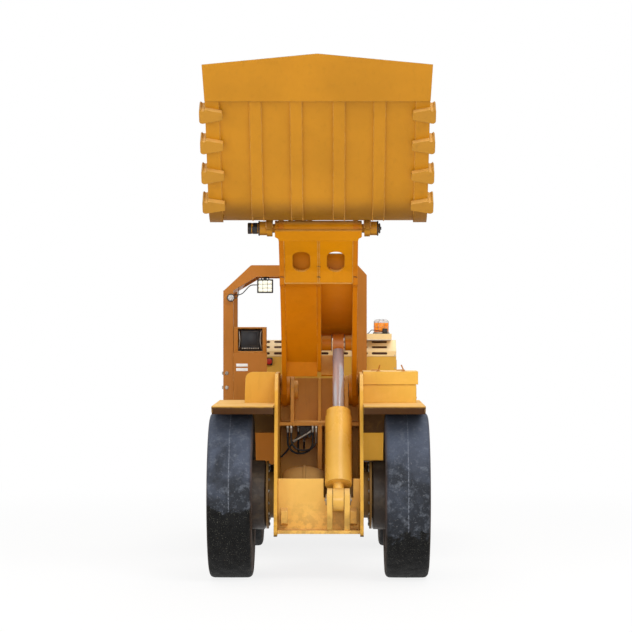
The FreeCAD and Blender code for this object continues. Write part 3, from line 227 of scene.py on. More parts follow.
def steel(name, base, rough=0.35, metallic=0.9, smear=0.4):
    """Bare or greased steel with stains and fine scratches."""
    t = material(name)
    scratch = t.noise(220.0, 3.0, 0.7, (1.0, 0.12, 0.12))
    stain = t.ramp(t.noise(13.0, 5.0, 0.7), 0.45, 0.68)
    edge, soft = t.edge(0.003)
    colour = t.lay(base, srgb(70, 48, 32), stain, smear)
    colour = t.lay(colour, tinted(base, 1.6, 0.03), edge, 0.35)
    gloss = t.plus(t.ramp(scratch, 0.3, 0.7, rough - 0.07, rough + 0.07), t.times(stain, 0.2))
    return t.surface(Base_Color=colour, Roughness=gloss, Metallic=metallic,
                     Normal=t.bump(scratch, 0.12, 0.001, soft))


def chrome(name, eye, reach):
    """Plated rod with a film of oil; its eye, a ball round the point eye, is painted."""
    t = material(name)
    rod = t.ramp(t.length(t.coord(), eye), reach - 0.001, reach + 0.001)
    line = t.noise(60.0, 2.0, 0.5, (8.0, 0.3, 0.3))
    oil = t.ramp(t.noise(5.0, 4.0, 0.6), 0.42, 0.7)
    plated = t.lay(srgb(214, 210, 216), srgb(150, 144, 144), oil, 0.3)
    painted = t.mix(t.ramp(t.noise(9.0, 4.0, 0.6), 0.4, 0.7), srgb(190, 110, 30), srgb(166, 98, 34))
    gloss = t.plus(t.ramp(line, 0.3, 0.7, 0.12, 0.2), t.times(oil, 0.12))
    gloss = t.math("MAXIMUM", gloss, t.times(t.math("SUBTRACT", 1.0, rod), 0.45))
    return t.surface(Base_Color=t.mix(rod, painted, plated), Roughness=gloss, Metallic=t.times(rod, 0.6),
                     Normal=t.bump(line, 0.05, 0.0005))


def rubber():
    """Smooth mine tyre: blue-grey dust lightened towards the top by painted light, the lower half a painted
    shade of near black flecked with grit, a pale mould line.
    """
    t = material("tyre")
    x, _, z = t.split()
    cloud = t.noise(3.2, 6.0, 0.65, distortion=0.5)
    scuff = t.noise(17.0, 6.0, 0.72)
    fleck = t.noise(70.0, 5.0, 0.75)
    grit = t.noise(130.0, 4.0, 0.75)
    # Painted shade: below a wavy line near axle height, set higher on the left tyres, the tyre turns near
    # black.
    wave = t.plus(z, t.times(t.noise(4.5, 5.0, 0.7), 0.55))
    low_half_shade = t.ramp(t.math("SUBTRACT", wave, t.ramp(x, -0.3, 0.3, 0.8, 0.62)), 0.0, 0.05, 1.0, 0.0)
    # Painted light: the tone lightens towards the top of the tyre.
    tall = t.plus(cloud, t.ramp(z, 0.45, 1.15, -0.2, 0.14))
    dust_and_top_light = t.mix(t.ramp(tall, 0.3, 0.7), srgb(34, 37, 43), srgb(74, 81, 96))
    dust_and_top_light = t.lay(dust_and_top_light, srgb(112, 118, 128), t.ramp(scuff, 0.5, 0.68), 0.45)
    dust_and_top_light = t.lay(dust_and_top_light, srgb(150, 154, 160), t.ramp(fleck, 0.58, 0.7), 0.35)
    off = t.math("ABSOLUTE", t.math("SUBTRACT", t.math("ABSOLUTE", x), TYRE_MIDDLE_X))
    line = t.times(t.ramp(off, 0.002, 0.006, 1.0, 0.0), t.ramp(fleck, 0.4, 0.56))
    dust_and_top_light = t.lay(dust_and_top_light, srgb(140, 146, 158), line, 0.45)
    dark = t.mix(t.ramp(grit, 0.61, 0.68), srgb(3, 3, 3), srgb(124, 122, 110))
    colour = t.lay(t.mix(low_half_shade, dust_and_top_light, dark), srgb(110, 82, 62), t.ramp(off, 0.15, 0.166),
                   t.ramp(cloud, 0.3, 0.7, 0.15, 0.45))
    relief = t.plus(t.times(scuff, 0.6), t.times(t.times(grit, low_half_shade), 1.2))
    return t.surface(Base_Color=colour, Roughness=t.ramp(scuff, 0.3, 0.7, 0.62, 0.85),
                     Specular_IOR_Level=0.25, Normal=t.bump(relief, 0.5, 0.004))


def plastic(name, base, rough, grain, dust):
    """Moulded plastic, rubber or black paint with grain, a film of dust and lighter edges."""
    t = material(name)
    fine = t.noise(grain, 3.0, 0.6)
    film = t.ramp(t.noise(11.0, 5.0, 0.65), 0.42, 0.72)
    edge, soft = t.edge(0.003)
    colour = t.lay(base, srgb(112, 96, 76), film, dust)
    colour = t.lay(colour, tinted(base, 2.2, 0.02), edge, 0.3)
    return t.surface(Base_Color=colour, Roughness=t.ramp(fine, 0.3, 0.7, rough - 0.05, rough + 0.12),
                     Specular_IOR_Level=0.35, Normal=t.bump(fine, 0.25, 0.0012, soft))


def glass(name, low, high, rough, through, glow=0.0, ribs=9.0):
    """Moulded clear or coloured lens with faint ribs in it."""
    t = material(name)
    rib = t.noise(30.0, 2.0, 0.5, (1.0, 1.0, ribs))
    colour = t.mix(t.ramp(rib, 0.35, 0.65), low, high)
    return t.surface(Base_Color=colour, Roughness=t.ramp(rib, 0.3, 0.7, rough, rough + 0.12),
                     Transmission_Weight=through, IOR=1.45, Emission_Color=colour, Emission_Strength=glow,
                     Normal=t.bump(rib, 0.3, 0.003))


def screen():
    """Dark display with a faint smear of dust."""
    t = material("screen")
    smear = t.ramp(t.noise(14.0, 5.0, 0.7), 0.4, 0.7)
    return t.surface(Base_Color=t.lay(srgb(30, 30, 34), srgb(74, 70, 66), smear, 0.25),
                     Roughness=t.ramp(smear, 0.0, 1.0, 0.3, 0.55), Specular_IOR_Level=0.25)


CREAM = (244, 206, 140)
M = {
    # Frame and fender: faces that look down take a painted shade of dark brown; the fender also gets dark
    # brown painted shade below 1.304 m, under its front lip.
    "frame": paint("frame_paint", (218, 163, 56), (222, 170, 70), CREAM, 0.6, 0.2, mud=0.8,
                   under=(1.0, -0.35, -0.75)),
    "fender": paint("fender_paint", (218, 163, 56), (222, 170, 70), CREAM, 0.6, 0.2,
                    under=(1.0, -0.35, -0.75), shaded_below=1.304),
    # The nose plate and lift clevis get a lighter copy of the frame paint, a painted light for the sun on
    # their front.
    "nose": paint("nose_lit_paint", (232, 182, 88), (236, 190, 104), CREAM, 0.6, 0.15, mud=0.7),
    # Lighter copy of the frame paint for the lift barrel, a painted light.
    "barrel": paint("lift_barrel_lit_paint", (228, 174, 70), (232, 182, 86), CREAM, 0.4, 0.1, 0.22, 0.1,
                    shine=0.5),
    # Darker copy of the frame paint for the inner frame, a painted shade.
    "inner": paint("inner_shaded_paint", (204, 140, 52), (176, 120, 52), (210, 160, 90), 0.6, 0.45),
    # Darker olive copy of the frame paint for the axles, a painted shade under the machine.
    "axle": paint("axle_shaded_paint", (150, 112, 58), (120, 90, 50), (160, 124, 72), 0.6, 0.5, mud=0.6),
    "boom": paint("boom_paint", (200, 116, 2), (206, 126, 8), (238, 192, 112), 0.7, 0.15, shine=0.15),
    # Lighter copy of the boom paint for the boom head, a painted light.
    "head": paint("boom_head_lit_paint", (208, 132, 0), (214, 140, 6), (238, 192, 112), 0.7, 0.15,
                  shine=0.12),
    # Faces of the bucket that look down take a painted shade of dark brown.
    "bucket": paint("bucket_paint", (190, 128, 22), (184, 121, 22), (228, 180, 96), 0.5, 0.2,
                    under=(0.55, -0.55, -0.92)),
    "wear": paint("wear_steel", (182, 127, 36), (174, 121, 40), (226, 180, 104), 0.6, 0.25, chips=0.8),
    "hood": paint("hood_paint", (224, 174, 68), (230, 182, 86), (250, 222, 164), 0.6, 0.1),
    # Pale cream copy of the hood paint; on the hood's upper sheet it is a painted light on the slope, and it
    # also colours the beacon base.
    "pale_cream": paint("pale_cream_paint", (250, 218, 156), (250, 224, 172), (252, 234, 196), 0.6, 0.05),
    # Darker brown copy of the frame paint for the canopy, cab and instrument housing, a painted shade.
    "canopy": paint("canopy_shaded_paint", (176, 108, 30), (180, 108, 36), CREAM, 0.6, 0.25),
    "dark": paint("slot_shadow", (70, 36, 12), (54, 28, 12), (90, 54, 22), 0.4, 0.3),
    "tyre": rubber(),
    "hub": plastic("hub_black", srgb(60, 50, 43), 0.42, 60.0, 0.45),
    "pin": steel("pin_steel", (0.1, 0.095, 0.09), 0.45, 0.6),
    "bolt": steel("bolt_steel", (0.42, 0.38, 0.32), 0.42, 0.7, 0.5),
    "weld": paint("weld_bead", (206, 142, 44), (190, 130, 44), (246, 212, 150), 0.8, 0.3),
    "black": plastic("black_steel", srgb(32, 31, 32), 0.45, 140.0, 0.3),
    "hose": plastic("black_rubber", srgb(34, 32, 31), 0.55, 180.0, 0.4),
    "iron": steel("engine_iron", (0.09, 0.085, 0.08), 0.6, 0.3),
    "vinyl": plastic("seat_vinyl", srgb(38, 38, 42), 0.5, 320.0, 0.25),
    "red": plastic("stop_red", srgb(178, 28, 20), 0.35, 90.0, 0.15),
    "plate": plastic("blank_plate", srgb(236, 236, 232), 0.35, 60.0, 0.08),
    "screen": screen(),
    "amber": glass("beacon_amber", srgb(226, 116, 10), srgb(244, 160, 48), 0.14, 0.12, 0.22),
    "clear": glass("beacon_clear", srgb(236, 236, 236), srgb(248, 248, 248), 0.1, 0.6),
    "lens": glass("lamp_lens", srgb(222, 220, 202), srgb(242, 242, 228), 0.25, 0.1, 0.42, 3.0),
}

FINISH = {n: "frame" for n in NODES}
for finish, names in {
    "boom": "boom_plates boom_web boom_cross_pin",
    "head": "boom_head",
    "bucket": "bucket_shell bucket_sides bucket_lip bucket_wear_strips bucket_hinge_lugs",
    "wear": "bucket_castings",
    "nose": "front_nose_plate lift_clevis",
    "fender": "front_fenders",
    "barrel": "lift_barrel",
    "axle": "front_axle rear_axle",
    "inner": "front_inner_frame",
    "hood": "engine_hood hood_door_left hood_door_right toolbox toolbox_lid",
    "pale_cream": "beacon_base",
    "canopy": "canopy cab_tub",
    "pin": "boom_pivot_pins",
    "vinyl": "seat_cushions",
    "iron": "engine_block",
    "amber": "beacon_lens",
    "hose": "hydraulic_hoses lamp_cable",
    "black": "seat_frame radiator monitor_housing canopy_lamp drive_shaft_front drive_shaft_rear",
}.items():
    for n in names.split():
        FINISH[n] = finish
for n in CORNERS:
    FINISH["tyre_" + n], FINISH["rim_" + n] = "tyre", "hub"
for n, eye, reach in (("lift_rod", (0.145, *LIFT_EYE), 0.0835),
                      ("dump_rod", (-0.132, -1.6313, 2.6592), 0.073),
                      ("steer_rod_left", (-0.215, -0.025, 0.69), 0.048),
                      ("steer_rod_right", (0.215, -0.025, 0.69), 0.048)):
    M[n] = chrome(n + "_chrome", eye, reach)
    FINISH[n] = n
for n, o in NODES.items():
    o.data.materials.clear()
    o.data.materials.append(M[FINISH[n]])


# ---- mesh helpers

def smooth(o, finish, body):
    """Shades an object smooth, gives it a material and lets it ride on a body."""
    o.data.polygons.foreach_set("use_smooth", [True] * len(o.data.polygons))
    o.data.materials.clear()
    o.data.materials.append(M[finish])
    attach(o, body)


def piece(name, bm, finish, body="rear_frame", angle=32):
    """Turns a bmesh into a piece that rides on a body."""
    bmesh.ops.recalc_face_normals(bm, faces=bm.faces)
    o = link(name, meshed(name, bm))
    smooth(o, finish, body)
    o.data.set_sharp_from_angle(angle=radians(angle))
    return o


def meshed(name, bm):
    mesh = bpy.data.meshes.new(name)
    bm.to_mesh(mesh)
    bm.free()
    return mesh


def apply(o, modifier):
    """Applies one modifier of an object."""
    bpy.context.view_layer.objects.active = o
    bpy.ops.object.modifier_apply(modifier=modifier.name)


def corners(node):
    """Lowest corner, highest corner and middle of a CAD node."""
    low, high = (Vector(p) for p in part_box(node))
    return low, high, (low + high) / 2


def stand(centre, axis):
    """Matrix that stands +Z along an axis at a place."""
    return Matrix.Translation(Vector(centre)) @ Vector(axis).to_track_quat("Z", "Y").to_matrix().to_4x4()


def circle(count, start=0.0):
    """Angles of evenly spaced places round a circle; start is a share of one step."""
    return [2 * pi * (k + start) / count for k in range(count)]


def round_x(x, middle, radius, angle):
    """Point on a circle round an axis along X through middle, a (y, z) pair."""
    return Vector((x, middle[0] + radius * cos(angle), middle[1] + radius * sin(angle)))


def skin(bm, rings, shut=True):
    """Faces between rings of points, each ring with as many points; shut closes both ends."""
    rings = [[bm.verts.new(p) for p in ring] for ring in rings]
    for a, b in zip(rings, rings[1:]):
        for k in range(len(a)):
            n = (k + 1) % len(a)
            bm.faces.new((a[k], a[n], b[n], b[k]))
    if shut:
        bm.faces.new(list(reversed(rings[0])))
        bm.faces.new(rings[-1])


def box(bm, low, high, bevel=0.0, steps=2):
    """Box with rounded edges."""
    low, high = Vector(low), Vector(high)
    m = Matrix.Translation((low + high) / 2) @ Matrix.Diagonal((*(high - low), 1))
    made = bmesh.ops.create_cube(bm, size=1.0, matrix=m)["verts"]
    if bevel:
        edges = list({e for v in made for e in v.link_edges})
        bmesh.ops.bevel(bm, geom=edges, offset=bevel, segments=steps, profile=0.5, affect="EDGES")


def turned(bm, profile, centre, axis, seg=32, ripple=None):
    """Turned form; profile is (distance along axis, radius). Radius 0 closes an end."""
    m = stand(centre, axis)
    rings = []
    for along, radius in profile:
        turns = circle(seg) if radius > 1e-6 else [0.0]
        rings.append([bm.verts.new(m @ Vector((cos(a) * radius * (ripple(a) if ripple else 1.0),
                                               sin(a) * radius * (ripple(a) if ripple else 1.0), along)))
                      for a in turns])
    for a, b in zip(rings, rings[1:]):
        for k in range(seg):
            n = (k + 1) % seg
            if len(a) == 1 and len(b) > 1:
                bm.faces.new((a[0], b[n], b[k]))
            elif len(b) == 1 and len(a) > 1:
                bm.faces.new((a[k], a[n], b[0]))
            elif len(a) > 1:
                bm.faces.new((a[k], a[n], b[n], b[k]))


def plug(bm, profile, centre, axis, seg=32):
    """Turned form whose two ends are closed flat."""
    turned(bm, [(profile[0][0], 0), *profile, (profile[-1][0], 0)], centre, axis, seg)


def bolt(bm, centre, axis, size, turn=0.0):
    """Washer and chamfered hexagon head on a surface."""
    axis = Vector(axis).normalized()
    at = Vector(centre)
    plug(bm, [(-0.001, size * 1.2), (size * 0.18, size * 1.2), (size * 0.22, size * 1.12)], at, axis, 20)
    spin = stand(at + axis * size * 0.2, axis) @ Matrix.Rotation(turn, 4, "Z")
    for r1, r2, low, deep in ((1.0, 1.0, 0.0, 0.55), (1.0, 0.8, 0.55, 0.14)):
        rise = Matrix.Translation((0, 0, size * (low + deep / 2)))
        bmesh.ops.create_cone(bm, cap_ends=True, segments=6, radius1=size * r1, radius2=size * r2,
                              depth=size * deep, matrix=spin @ rise)


def tube(bm, points, radius, seg=8, swell=None):
    """Round tube through points; swell(i) scales a ring."""
    points = [Vector(p) for p in points]
    rings = []
    side = (points[1] - points[0]).normalized().orthogonal().normalized()
    for i, p in enumerate(points):
        ahead = (points[min(i + 1, len(points) - 1)] - points[max(i - 1, 0)]).normalized()
        side = (side - ahead * side.dot(ahead)).normalized()
        up = ahead.cross(side)
        r = radius * (swell(i) if swell else 1.0)
        rings.append([p + (side * cos(a) + up * sin(a)) * r for a in circle(seg)])
    skin(bm, rings)


def weld(bm, points, radius=0.0048):
    """Ripple of overlapping scales along a seam."""
    points = [Vector(p) for p in points]
    line = []
    for a, b in zip(points, points[1:]):
        count = max(3, int((b - a).length / 0.007))
        line += [a.lerp(b, i / count) for i in range(count)]
    line.append(points[-1])
    shake = random.Random(len(line))
    line = [p + Vector([shake.uniform(-0.0007, 0.0007) for _ in range(3)]) for p in line]
    tube(bm, line, radius, 6, lambda i: 1.0 if i % 2 else 0.74)


def rounded(points, radius, steps=5):
    """Open line whose inner corners are rounded."""
    points = [Vector(p) for p in points]
    line = [points[0]]
    for before, corner, after in zip(points, points[1:], points[2:]):
        a = corner + (before - corner).normalized() * radius
        b = corner + (after - corner).normalized() * radius
        for k in range(steps + 1):
            u = k / steps
            line.append(a * (1 - u) ** 2 + corner * 2 * u * (1 - u) + b * u ** 2)
    return line + [points[-1]]


def on_axes(turn, x, y, z):
    """Place of a point given in axes that start on the bucket pin and slope down by turn."""
    c, s = cos(turn), sin(turn)
    return Vector((x, BUCKET_PIN[0] + y * c + z * s, BUCKET_PIN[1] - y * s + z * c))


def on_bucket(x, y, z):
    return on_axes(BUCKET_TURN, x, y, z)


def on_boom(x, t, h):
    return on_axes(BOOM_TURN, x, t, h)


# ---- wheels

def tyre(name):
    """Smooth carcass with a rounded shoulder and a thin mould rib round the middle."""
    middle = corners("tyre_" + name)[2]
    left = [(-0.1178, 0.3055), (-0.1178, 0.334), (-0.125, 0.34), (-0.137, 0.348), (-0.148, 0.362),
            (-0.156, 0.38), (-0.1605, 0.4), (-0.1635, 0.422), (-0.1648, 0.45), (-0.165, 0.49),
            (-0.1648, 0.525), (-0.164, 0.556), (-0.1625, 0.58), (-0.1585, 0.596), (-0.151, 0.608),
            (-0.14, 0.615), (-0.125, 0.6183), (-0.09, 0.619), (-0.04, 0.6192), (-0.004, 0.6192),
            (-0.002, TYRE_RADIUS)]
    profile = left + [(-a, r) for a, r in reversed(left)] + [(left[0][0], left[0][1])]
    bm = bmesh.new()
    turned(bm, profile, middle, ACROSS, 128)
    bmesh.ops.remove_doubles(bm, verts=bm.verts, dist=0.00001)
    carcass = piece("carcass_" + name, bm, "tyre", "wheel_" + name, 40)
    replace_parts(carcass, "tyre_" + name)


def wheel_nuts(name):
    """Nuts round the drum's outer web, the hub's cover screws and the valve."""
    middle = corners("tyre_" + name)[2]
    out = copysign(1, middle.x)
    bm = bmesh.new()
    for count, ring, face, size in ((12, 0.197, 0.046, 0.016), (8, 0.078, 0.15, 0.009),
                                    (12, 0.132, 0.1285, 0.008)):
        for a in circle(count, 0.5):
            bolt(bm, round_x(middle.x + out * face, middle.yz, ring, a), (out, 0, 0), size, a)
    stem = middle + Vector((out * 0.048, 0, 0.24))
    tube(bm, rounded([stem, stem + Vector((out * 0.03, 0, 0)), stem + Vector((out * 0.05, 0, -0.02))], 0.012),
             0.006, 10)
    piece("wheel_nuts_" + name, bm, "bolt", "wheel_" + name)


def axle_bolts(end, body):
    """Bolts round the axle's two brake flanges."""
    bm = bmesh.new()
    for out in (-1, 1):
        for a in circle(16, 0.5):
            bolt(bm, round_x(out * 0.376, (AXLE_Y[end], WHEEL_Z), 0.226, a), (-out, 0, 0), 0.0105, a)
    piece(end + "_axle_bolts", bm, "bolt", body)


def differential(end, body):
    """Smooth cast bulge over the differential, with its rib."""
    ball = [(-0.11 - 0.168 * cos(a), 0.124 + 0.0895 * sin(a) ** 0.75)
            for a in [pi * k / 24 for k in range(25)]]
    rib = [(-0.119, 0.205), (-0.119, 0.221), (-0.116, 0.2235), (-0.104, 0.2235), (-0.101, 0.221),
           (-0.101, 0.205)]
    bm = bmesh.new()
    for profile in (ball, rib):
        turned(bm, profile, (0, AXLE_Y[end], WHEEL_Z), ACROSS, 72)
    piece(end + "_differential_cover", bm, "axle", body, 50)


for corner in CORNERS:
    tyre(corner)
    wheel_nuts(corner)
for add in (axle_bolts, differential):
    for end in AXLE_Y:
        add(end, end + "_frame")


# ---- bucket

def bucket_welds():
    """Seams along both sides of every wear strip, across the lip and beside the hinge lugs."""
    bm = bmesh.new()
    start, flat, low, r = -1.244, -0.447, -0.281, 0.357
    bend = [(flat + r * sin(a), low + r * (1 - cos(a))) for a in [radians(k * 9) for k in range(1, 7)]]
    for x in (-0.463, -0.385, -0.186, -0.108, 0.108, 0.186, 0.385, 0.463, -0.671, 0.671):
        line = [(start, low), (flat, low)] + (bend if abs(x) < 0.6 else bend[:3])
        weld(bm, [on_bucket(x, y, z) for y, z in line], 0.0046)
    for side in (-1, 1):
        weld(bm, [on_bucket(x * side, start - 0.004, low - 0.002) for x in (0.02, 0.75)][::side], 0.0055)
    for x in (-0.372, -0.328, 0.328, 0.372):
        weld(bm, [on_bucket(x, -0.09, -0.12), on_bucket(x, -0.088, 0.35)], 0.005)
    piece("bucket_welds", bm, "weld", "bucket")


def hinge_pins():
    """Turned ends of the bucket's hinge pins: a grooved keeper left, a grease cap right."""
    bm = bmesh.new()
    plug(bm, [(0.0, 0.036), (0.003, 0.0405), (0.026, 0.0405), (0.028, 0.037), (0.036, 0.037),
                  (0.038, 0.0405), (0.07, 0.0405), (0.074, 0.037)], (-0.5078, *BUCKET_PIN), ACROSS, 36)
    plug(bm, [(0.0, 0.0365), (0.008, 0.0365), (0.011, 0.03), (0.011, 0.012), (0.018, 0.011)],
             (0.4345, *BUCKET_PIN), ACROSS, 36)
    for k in (-1, 1):
        turned(bm, [(0.0, 0.0405), (0.0, 0.052), (0.006, 0.054), (0.01, 0.052), (0.01, 0.0405)],
                   (k * 0.426 - 0.005, *BUCKET_PIN), ACROSS, 36)
    piece("hinge_pin_ends", bm, "black", "bucket")


bucket_welds()
hinge_pins()


# ---- boom

def boom_welds():
    """Seams of the head sheet, the centre web and the cross tube."""
    bm = bmesh.new()
    sheet = [(0.07, -0.0625), (0.16, -0.0485), (0.252, -0.0345), (0.4, -0.0312), (0.42, -0.0324),
             (0.438, -0.0375), (0.502, -0.0775)]
    for x in (-0.249, -0.006, 0.006, 0.249):
        weld(bm, [on_boom(x, t, h) for t, h in sheet], 0.0042)
    weld(bm, [on_boom(-0.247, 0.506, -0.081), on_boom(0.247, 0.506, -0.081)], 0.005)
    for x in (-0.287, 0.287):
        weld(bm, [on_boom(x, 0.036, -0.062), on_boom(x, 0.036, 0.02)], 0.005)
    for x in (0.018, 0.248):
        weld(bm, [on_boom(x, 1.4168 + 0.06 * cos(a), 0.1161 + 0.06 * sin(a))
                      for a in circle(24) + [2 * pi]], 0.004)
    piece("boom_welds", bm, "weld", "boom")


def boom_ticks():
    """Short open gaps in the boom's seams, drawn as black rods of painted shade at the plates' edges."""
    bm = bmesh.new()
    for x in (-0.268, 0.0, 0.268):
        for t, h in ((0.372, -0.0335), (0.462, -0.0575)):
            at = on_boom(x, t, h)
            tube(bm, [at + Vector((dx, 0, dz)) for dx, dz in ((-0.013, 0), (0.004, 0.001), (0.013, -0.004))],
                     0.0028, 6)
    piece("boom_seam_gap_shade", bm, "black", "boom")


def head_liner():
    """Bent plates behind the head's two holes that close the boom off inside."""
    for name, x0, x1, top, deep in (("left", -0.246, -0.018, 0.28, 0.046),
                                    ("right", 0.018, 0.246, 0.33, 0.064)):
        rings = []
        for u in [k / 12 for k in range(13)]:
            t, h = 0.478 + (top - 0.478) * u, -0.016 + deep * u + 0.032 * sin(pi * u)
            rings.append([on_boom(x, t, h + lift)
                          for x, lift in ((x0, 0), (x1, 0), (x1, 0.008), (x0, 0.008))])
        bm = bmesh.new()
        skin(bm, rings)
        piece("head_liner_" + name, bm, "boom", "boom")


def head_cover():
    """Rolled plate that carries the collar's face up round the front of the hinge tube."""
    bm = bmesh.new()
    skin(bm, [[round_x(x, BUCKET_PIN, r, a) for x, r in ((-0.284, 0.0556), (0.284, 0.0556), (0.284, 0.0606),
                                                         (-0.284, 0.0606))]
              for a in [radians(202 - 5.6 * k) for k in range(15)]])
    piece("head_cover", bm, "head", "boom")


def lift_eye_collars():
    """Shim rings beside the lift rod's eye."""
    bm = bmesh.new()
    for x in (0.0925, 0.1925):
        turned(bm, [(0, 0.046), (0, 0.066), (0.0015, 0.0675), (0.0035, 0.0675), (0.005, 0.066),
                    (0.005, 0.046)], (x, *LIFT_EYE), ACROSS, 40)
    piece("lift_eye_shims", bm, "bolt", "boom")


boom_welds()
boom_ticks()
head_liner()
head_cover()
lift_eye_collars()


# ---- front frame

def frame_welds():
    """Seams round the nose plate, under the fenders and down the frame's front edges."""
    bm = bmesh.new()
    y, foot = -1.2655, 0.3815
    for x, top in ((-0.3035, 0.752), (0.3035, 0.54)):
        weld(bm, [(x, y, 0.384), (x, y, top)])
    for x0, x1 in ((-0.3, 0.055), (0.234, 0.3)):
        weld(bm, [(x0, y, foot), (x1, y, foot)])
    for x in (-0.3315, 0.3315):
        weld(bm, [(x, -1.45, 1.2925), (x, -0.3, 1.2925)])
    for x in (-0.306, -0.196, -0.011, 0.021, 0.196, 0.306):
        weld(bm, [(x, -0.7, 1.1185), (x, -0.3, 1.1185)], 0.0042)
    piece("frame_welds", bm, "weld", "front_frame")


def clevis_keepers():
    """Bolted keeper plates on the lift cylinder's lower pin."""
    low, high, _ = corners("lift_clevis")
    bm = bmesh.new()
    for x, out, inset in ((low.x - 0.001, -1, 0.004), (high.x + 0.001, 1, 0.0)):
        plug(bm, [(-inset, 0.04), (0.004, 0.04), (0.006, 0.036)], (x, *CLEVIS_PIN), (out, 0, 0))
        bolt(bm, (x + out * 0.005, *CLEVIS_PIN), (out, 0, 0), 0.01, 0.4)
    piece("clevis_keepers", bm, "bolt", "front_frame")


def pivot_bolts():
    """Four bolts and a grease nipple in each boom pivot head."""
    low, high, _ = corners("boom_pivot_pins")
    bm = bmesh.new()
    for out, x in ((-1, low.x), (1, high.x)):
        for a in circle(4, 0.5):
            bolt(bm, round_x(x, PIVOT, 0.058, a), (out, 0, 0), 0.012, a)
        plug(bm, [(-0.001, 0.009), (0.006, 0.009), (0.009, 0.005), (0.016, 0.005), (0.018, 0.003)],
                 (x, *PIVOT), (out, 0, 0), 16)
    piece("pivot_bolts", bm, "bolt", "front_frame")


def toolbox_fittings():
    """Two tee handles on the lid and its hinge knuckles."""
    low, high, _ = corners("toolbox_lid")
    y = low.y + 0.045
    bm = bmesh.new()
    for x, lean in ((0.448, 0.4), (0.64, -0.62)):
        plug(bm, [(-0.001, 0.017), (0.003, 0.017), (0.005, 0.011), (0.014, 0.009)], (x, y, high.z), UP, 20)
        tube(bm, [(x - 0.055, y, high.z + 0.01), (x - 0.004, y, high.z + 0.012)], 0.0045, 8)
        tube(bm, [(x, y, high.z + 0.008), (x + 0.03 * lean, y, high.z + 0.05)], 0.005, 10)
    piece("toolbox_handles", bm, "canopy", "toolbox_lid")
    bm = bmesh.new()
    for x in (0.41, 0.655):
        for k in range(3):
            plug(bm, [(0, 0.0065), (0.001, 0.0075), (0.021, 0.0075), (0.022, 0.0065)],
                     (x - 0.036 + k * 0.025, high.y + 0.0075, low.z + 0.012), ACROSS, 16)
        box(bm, (x - 0.036, high.y, low.z + 0.014), (x + 0.036, high.y + 0.003, low.z + 0.05), 0.001, 1)
    piece("toolbox_hinges", bm, "bolt", "toolbox_lid")


def hose_ends():
    """Crimped fittings where the hoses meet the shelf."""
    bm = bmesh.new()
    shelf, down = 1.12, (0, 0, -1)
    for x, y in ((-0.217, -0.595), (-0.024, -0.595), (-0.244, -0.56), (-0.051, -0.56), (-0.12, -0.4),
                 (-0.165, -0.395)):
        plug(bm, [(0, 0.014), (0.018, 0.014)], (x, y, shelf), down, 6)
        plug(bm, [(0.018, 0.0095), (0.022, 0.0115), (0.034, 0.0115), (0.035, 0.0105), (0.04, 0.0105),
                      (0.041, 0.0115), (0.053, 0.0115), (0.055, 0.0088)], (x, y, shelf), down, 20)
    piece("hose_fittings", bm, "bolt", "front_frame")


def valve_group():
    """Valve block hung under the shelf, with its plugs, a slanting pipe and coil guards on two hoses."""
    bm = bmesh.new()
    low, high = Vector((-0.152, -0.5, 1.04)), Vector((-0.06, -0.432, 1.1195))
    box(bm, low, high, 0.005)
    for k in range(3):
        x = low.x + 0.018 + k * 0.028
        plug(bm, [(-0.001, 0.011), (0.01, 0.011), (0.012, 0.009), (0.012, 0.005), (0.022, 0.005)],
                 (x, low.y, 1.062 + 0.018 * (k % 2)), AHEAD, 6 + 12 * (k % 2))
        plug(bm, [(-0.001, 0.01), (0.014, 0.01), (0.018, 0.007)], (x, low.y + 0.034, low.z), (0, 0, -1), 16)
    piece("valve_block", bm, "iron", "front_frame")
    bm = bmesh.new()
    pipe = [(-0.192, -0.54, 1.000), (-0.07, -0.535, 1.068), (-0.036, -0.52, 1.118)]
    tube(bm, rounded(pipe, 0.03), 0.0085, 14)
    for at, toward in (((-0.192, -0.54, 1.000), (-1, 0, -0.55)), ((-0.036, -0.52, 1.09), (0.3, 0.1, 1))):
        plug(bm, [(-0.01, 0.013), (0.012, 0.013)], at, toward, 6)
    turns, steps = 9, 72
    for x, y, z0, z1 in ((-0.12, -0.4, 0.985, 1.06), (-0.024, -0.595, 0.985, 1.062)):
        coil = [(x + 0.0098 * cos(a * turns), y + 0.0098 * sin(a * turns), z0 + (z1 - z0) * k / steps)
                for k, a in enumerate(circle(steps) + [2 * pi])]
        tube(bm, coil, 0.0022, 6)
    piece("valve_pipes", bm, "bolt", "front_frame")
    bm = bmesh.new()
    cable = [(-0.3, -0.47, 0.87), (-0.262, -0.48, 0.905), (-0.205, -0.49, 0.985), (-0.15, -0.48, 1.05)]
    tube(bm, rounded(cable, 0.03), 0.007, 10)
    piece("valve_lead", bm, "hose", "front_frame")


frame_welds()
valve_group()
clevis_keepers()
pivot_bolts()
toolbox_fittings()
hose_ends()


# ---- compartment and canopy

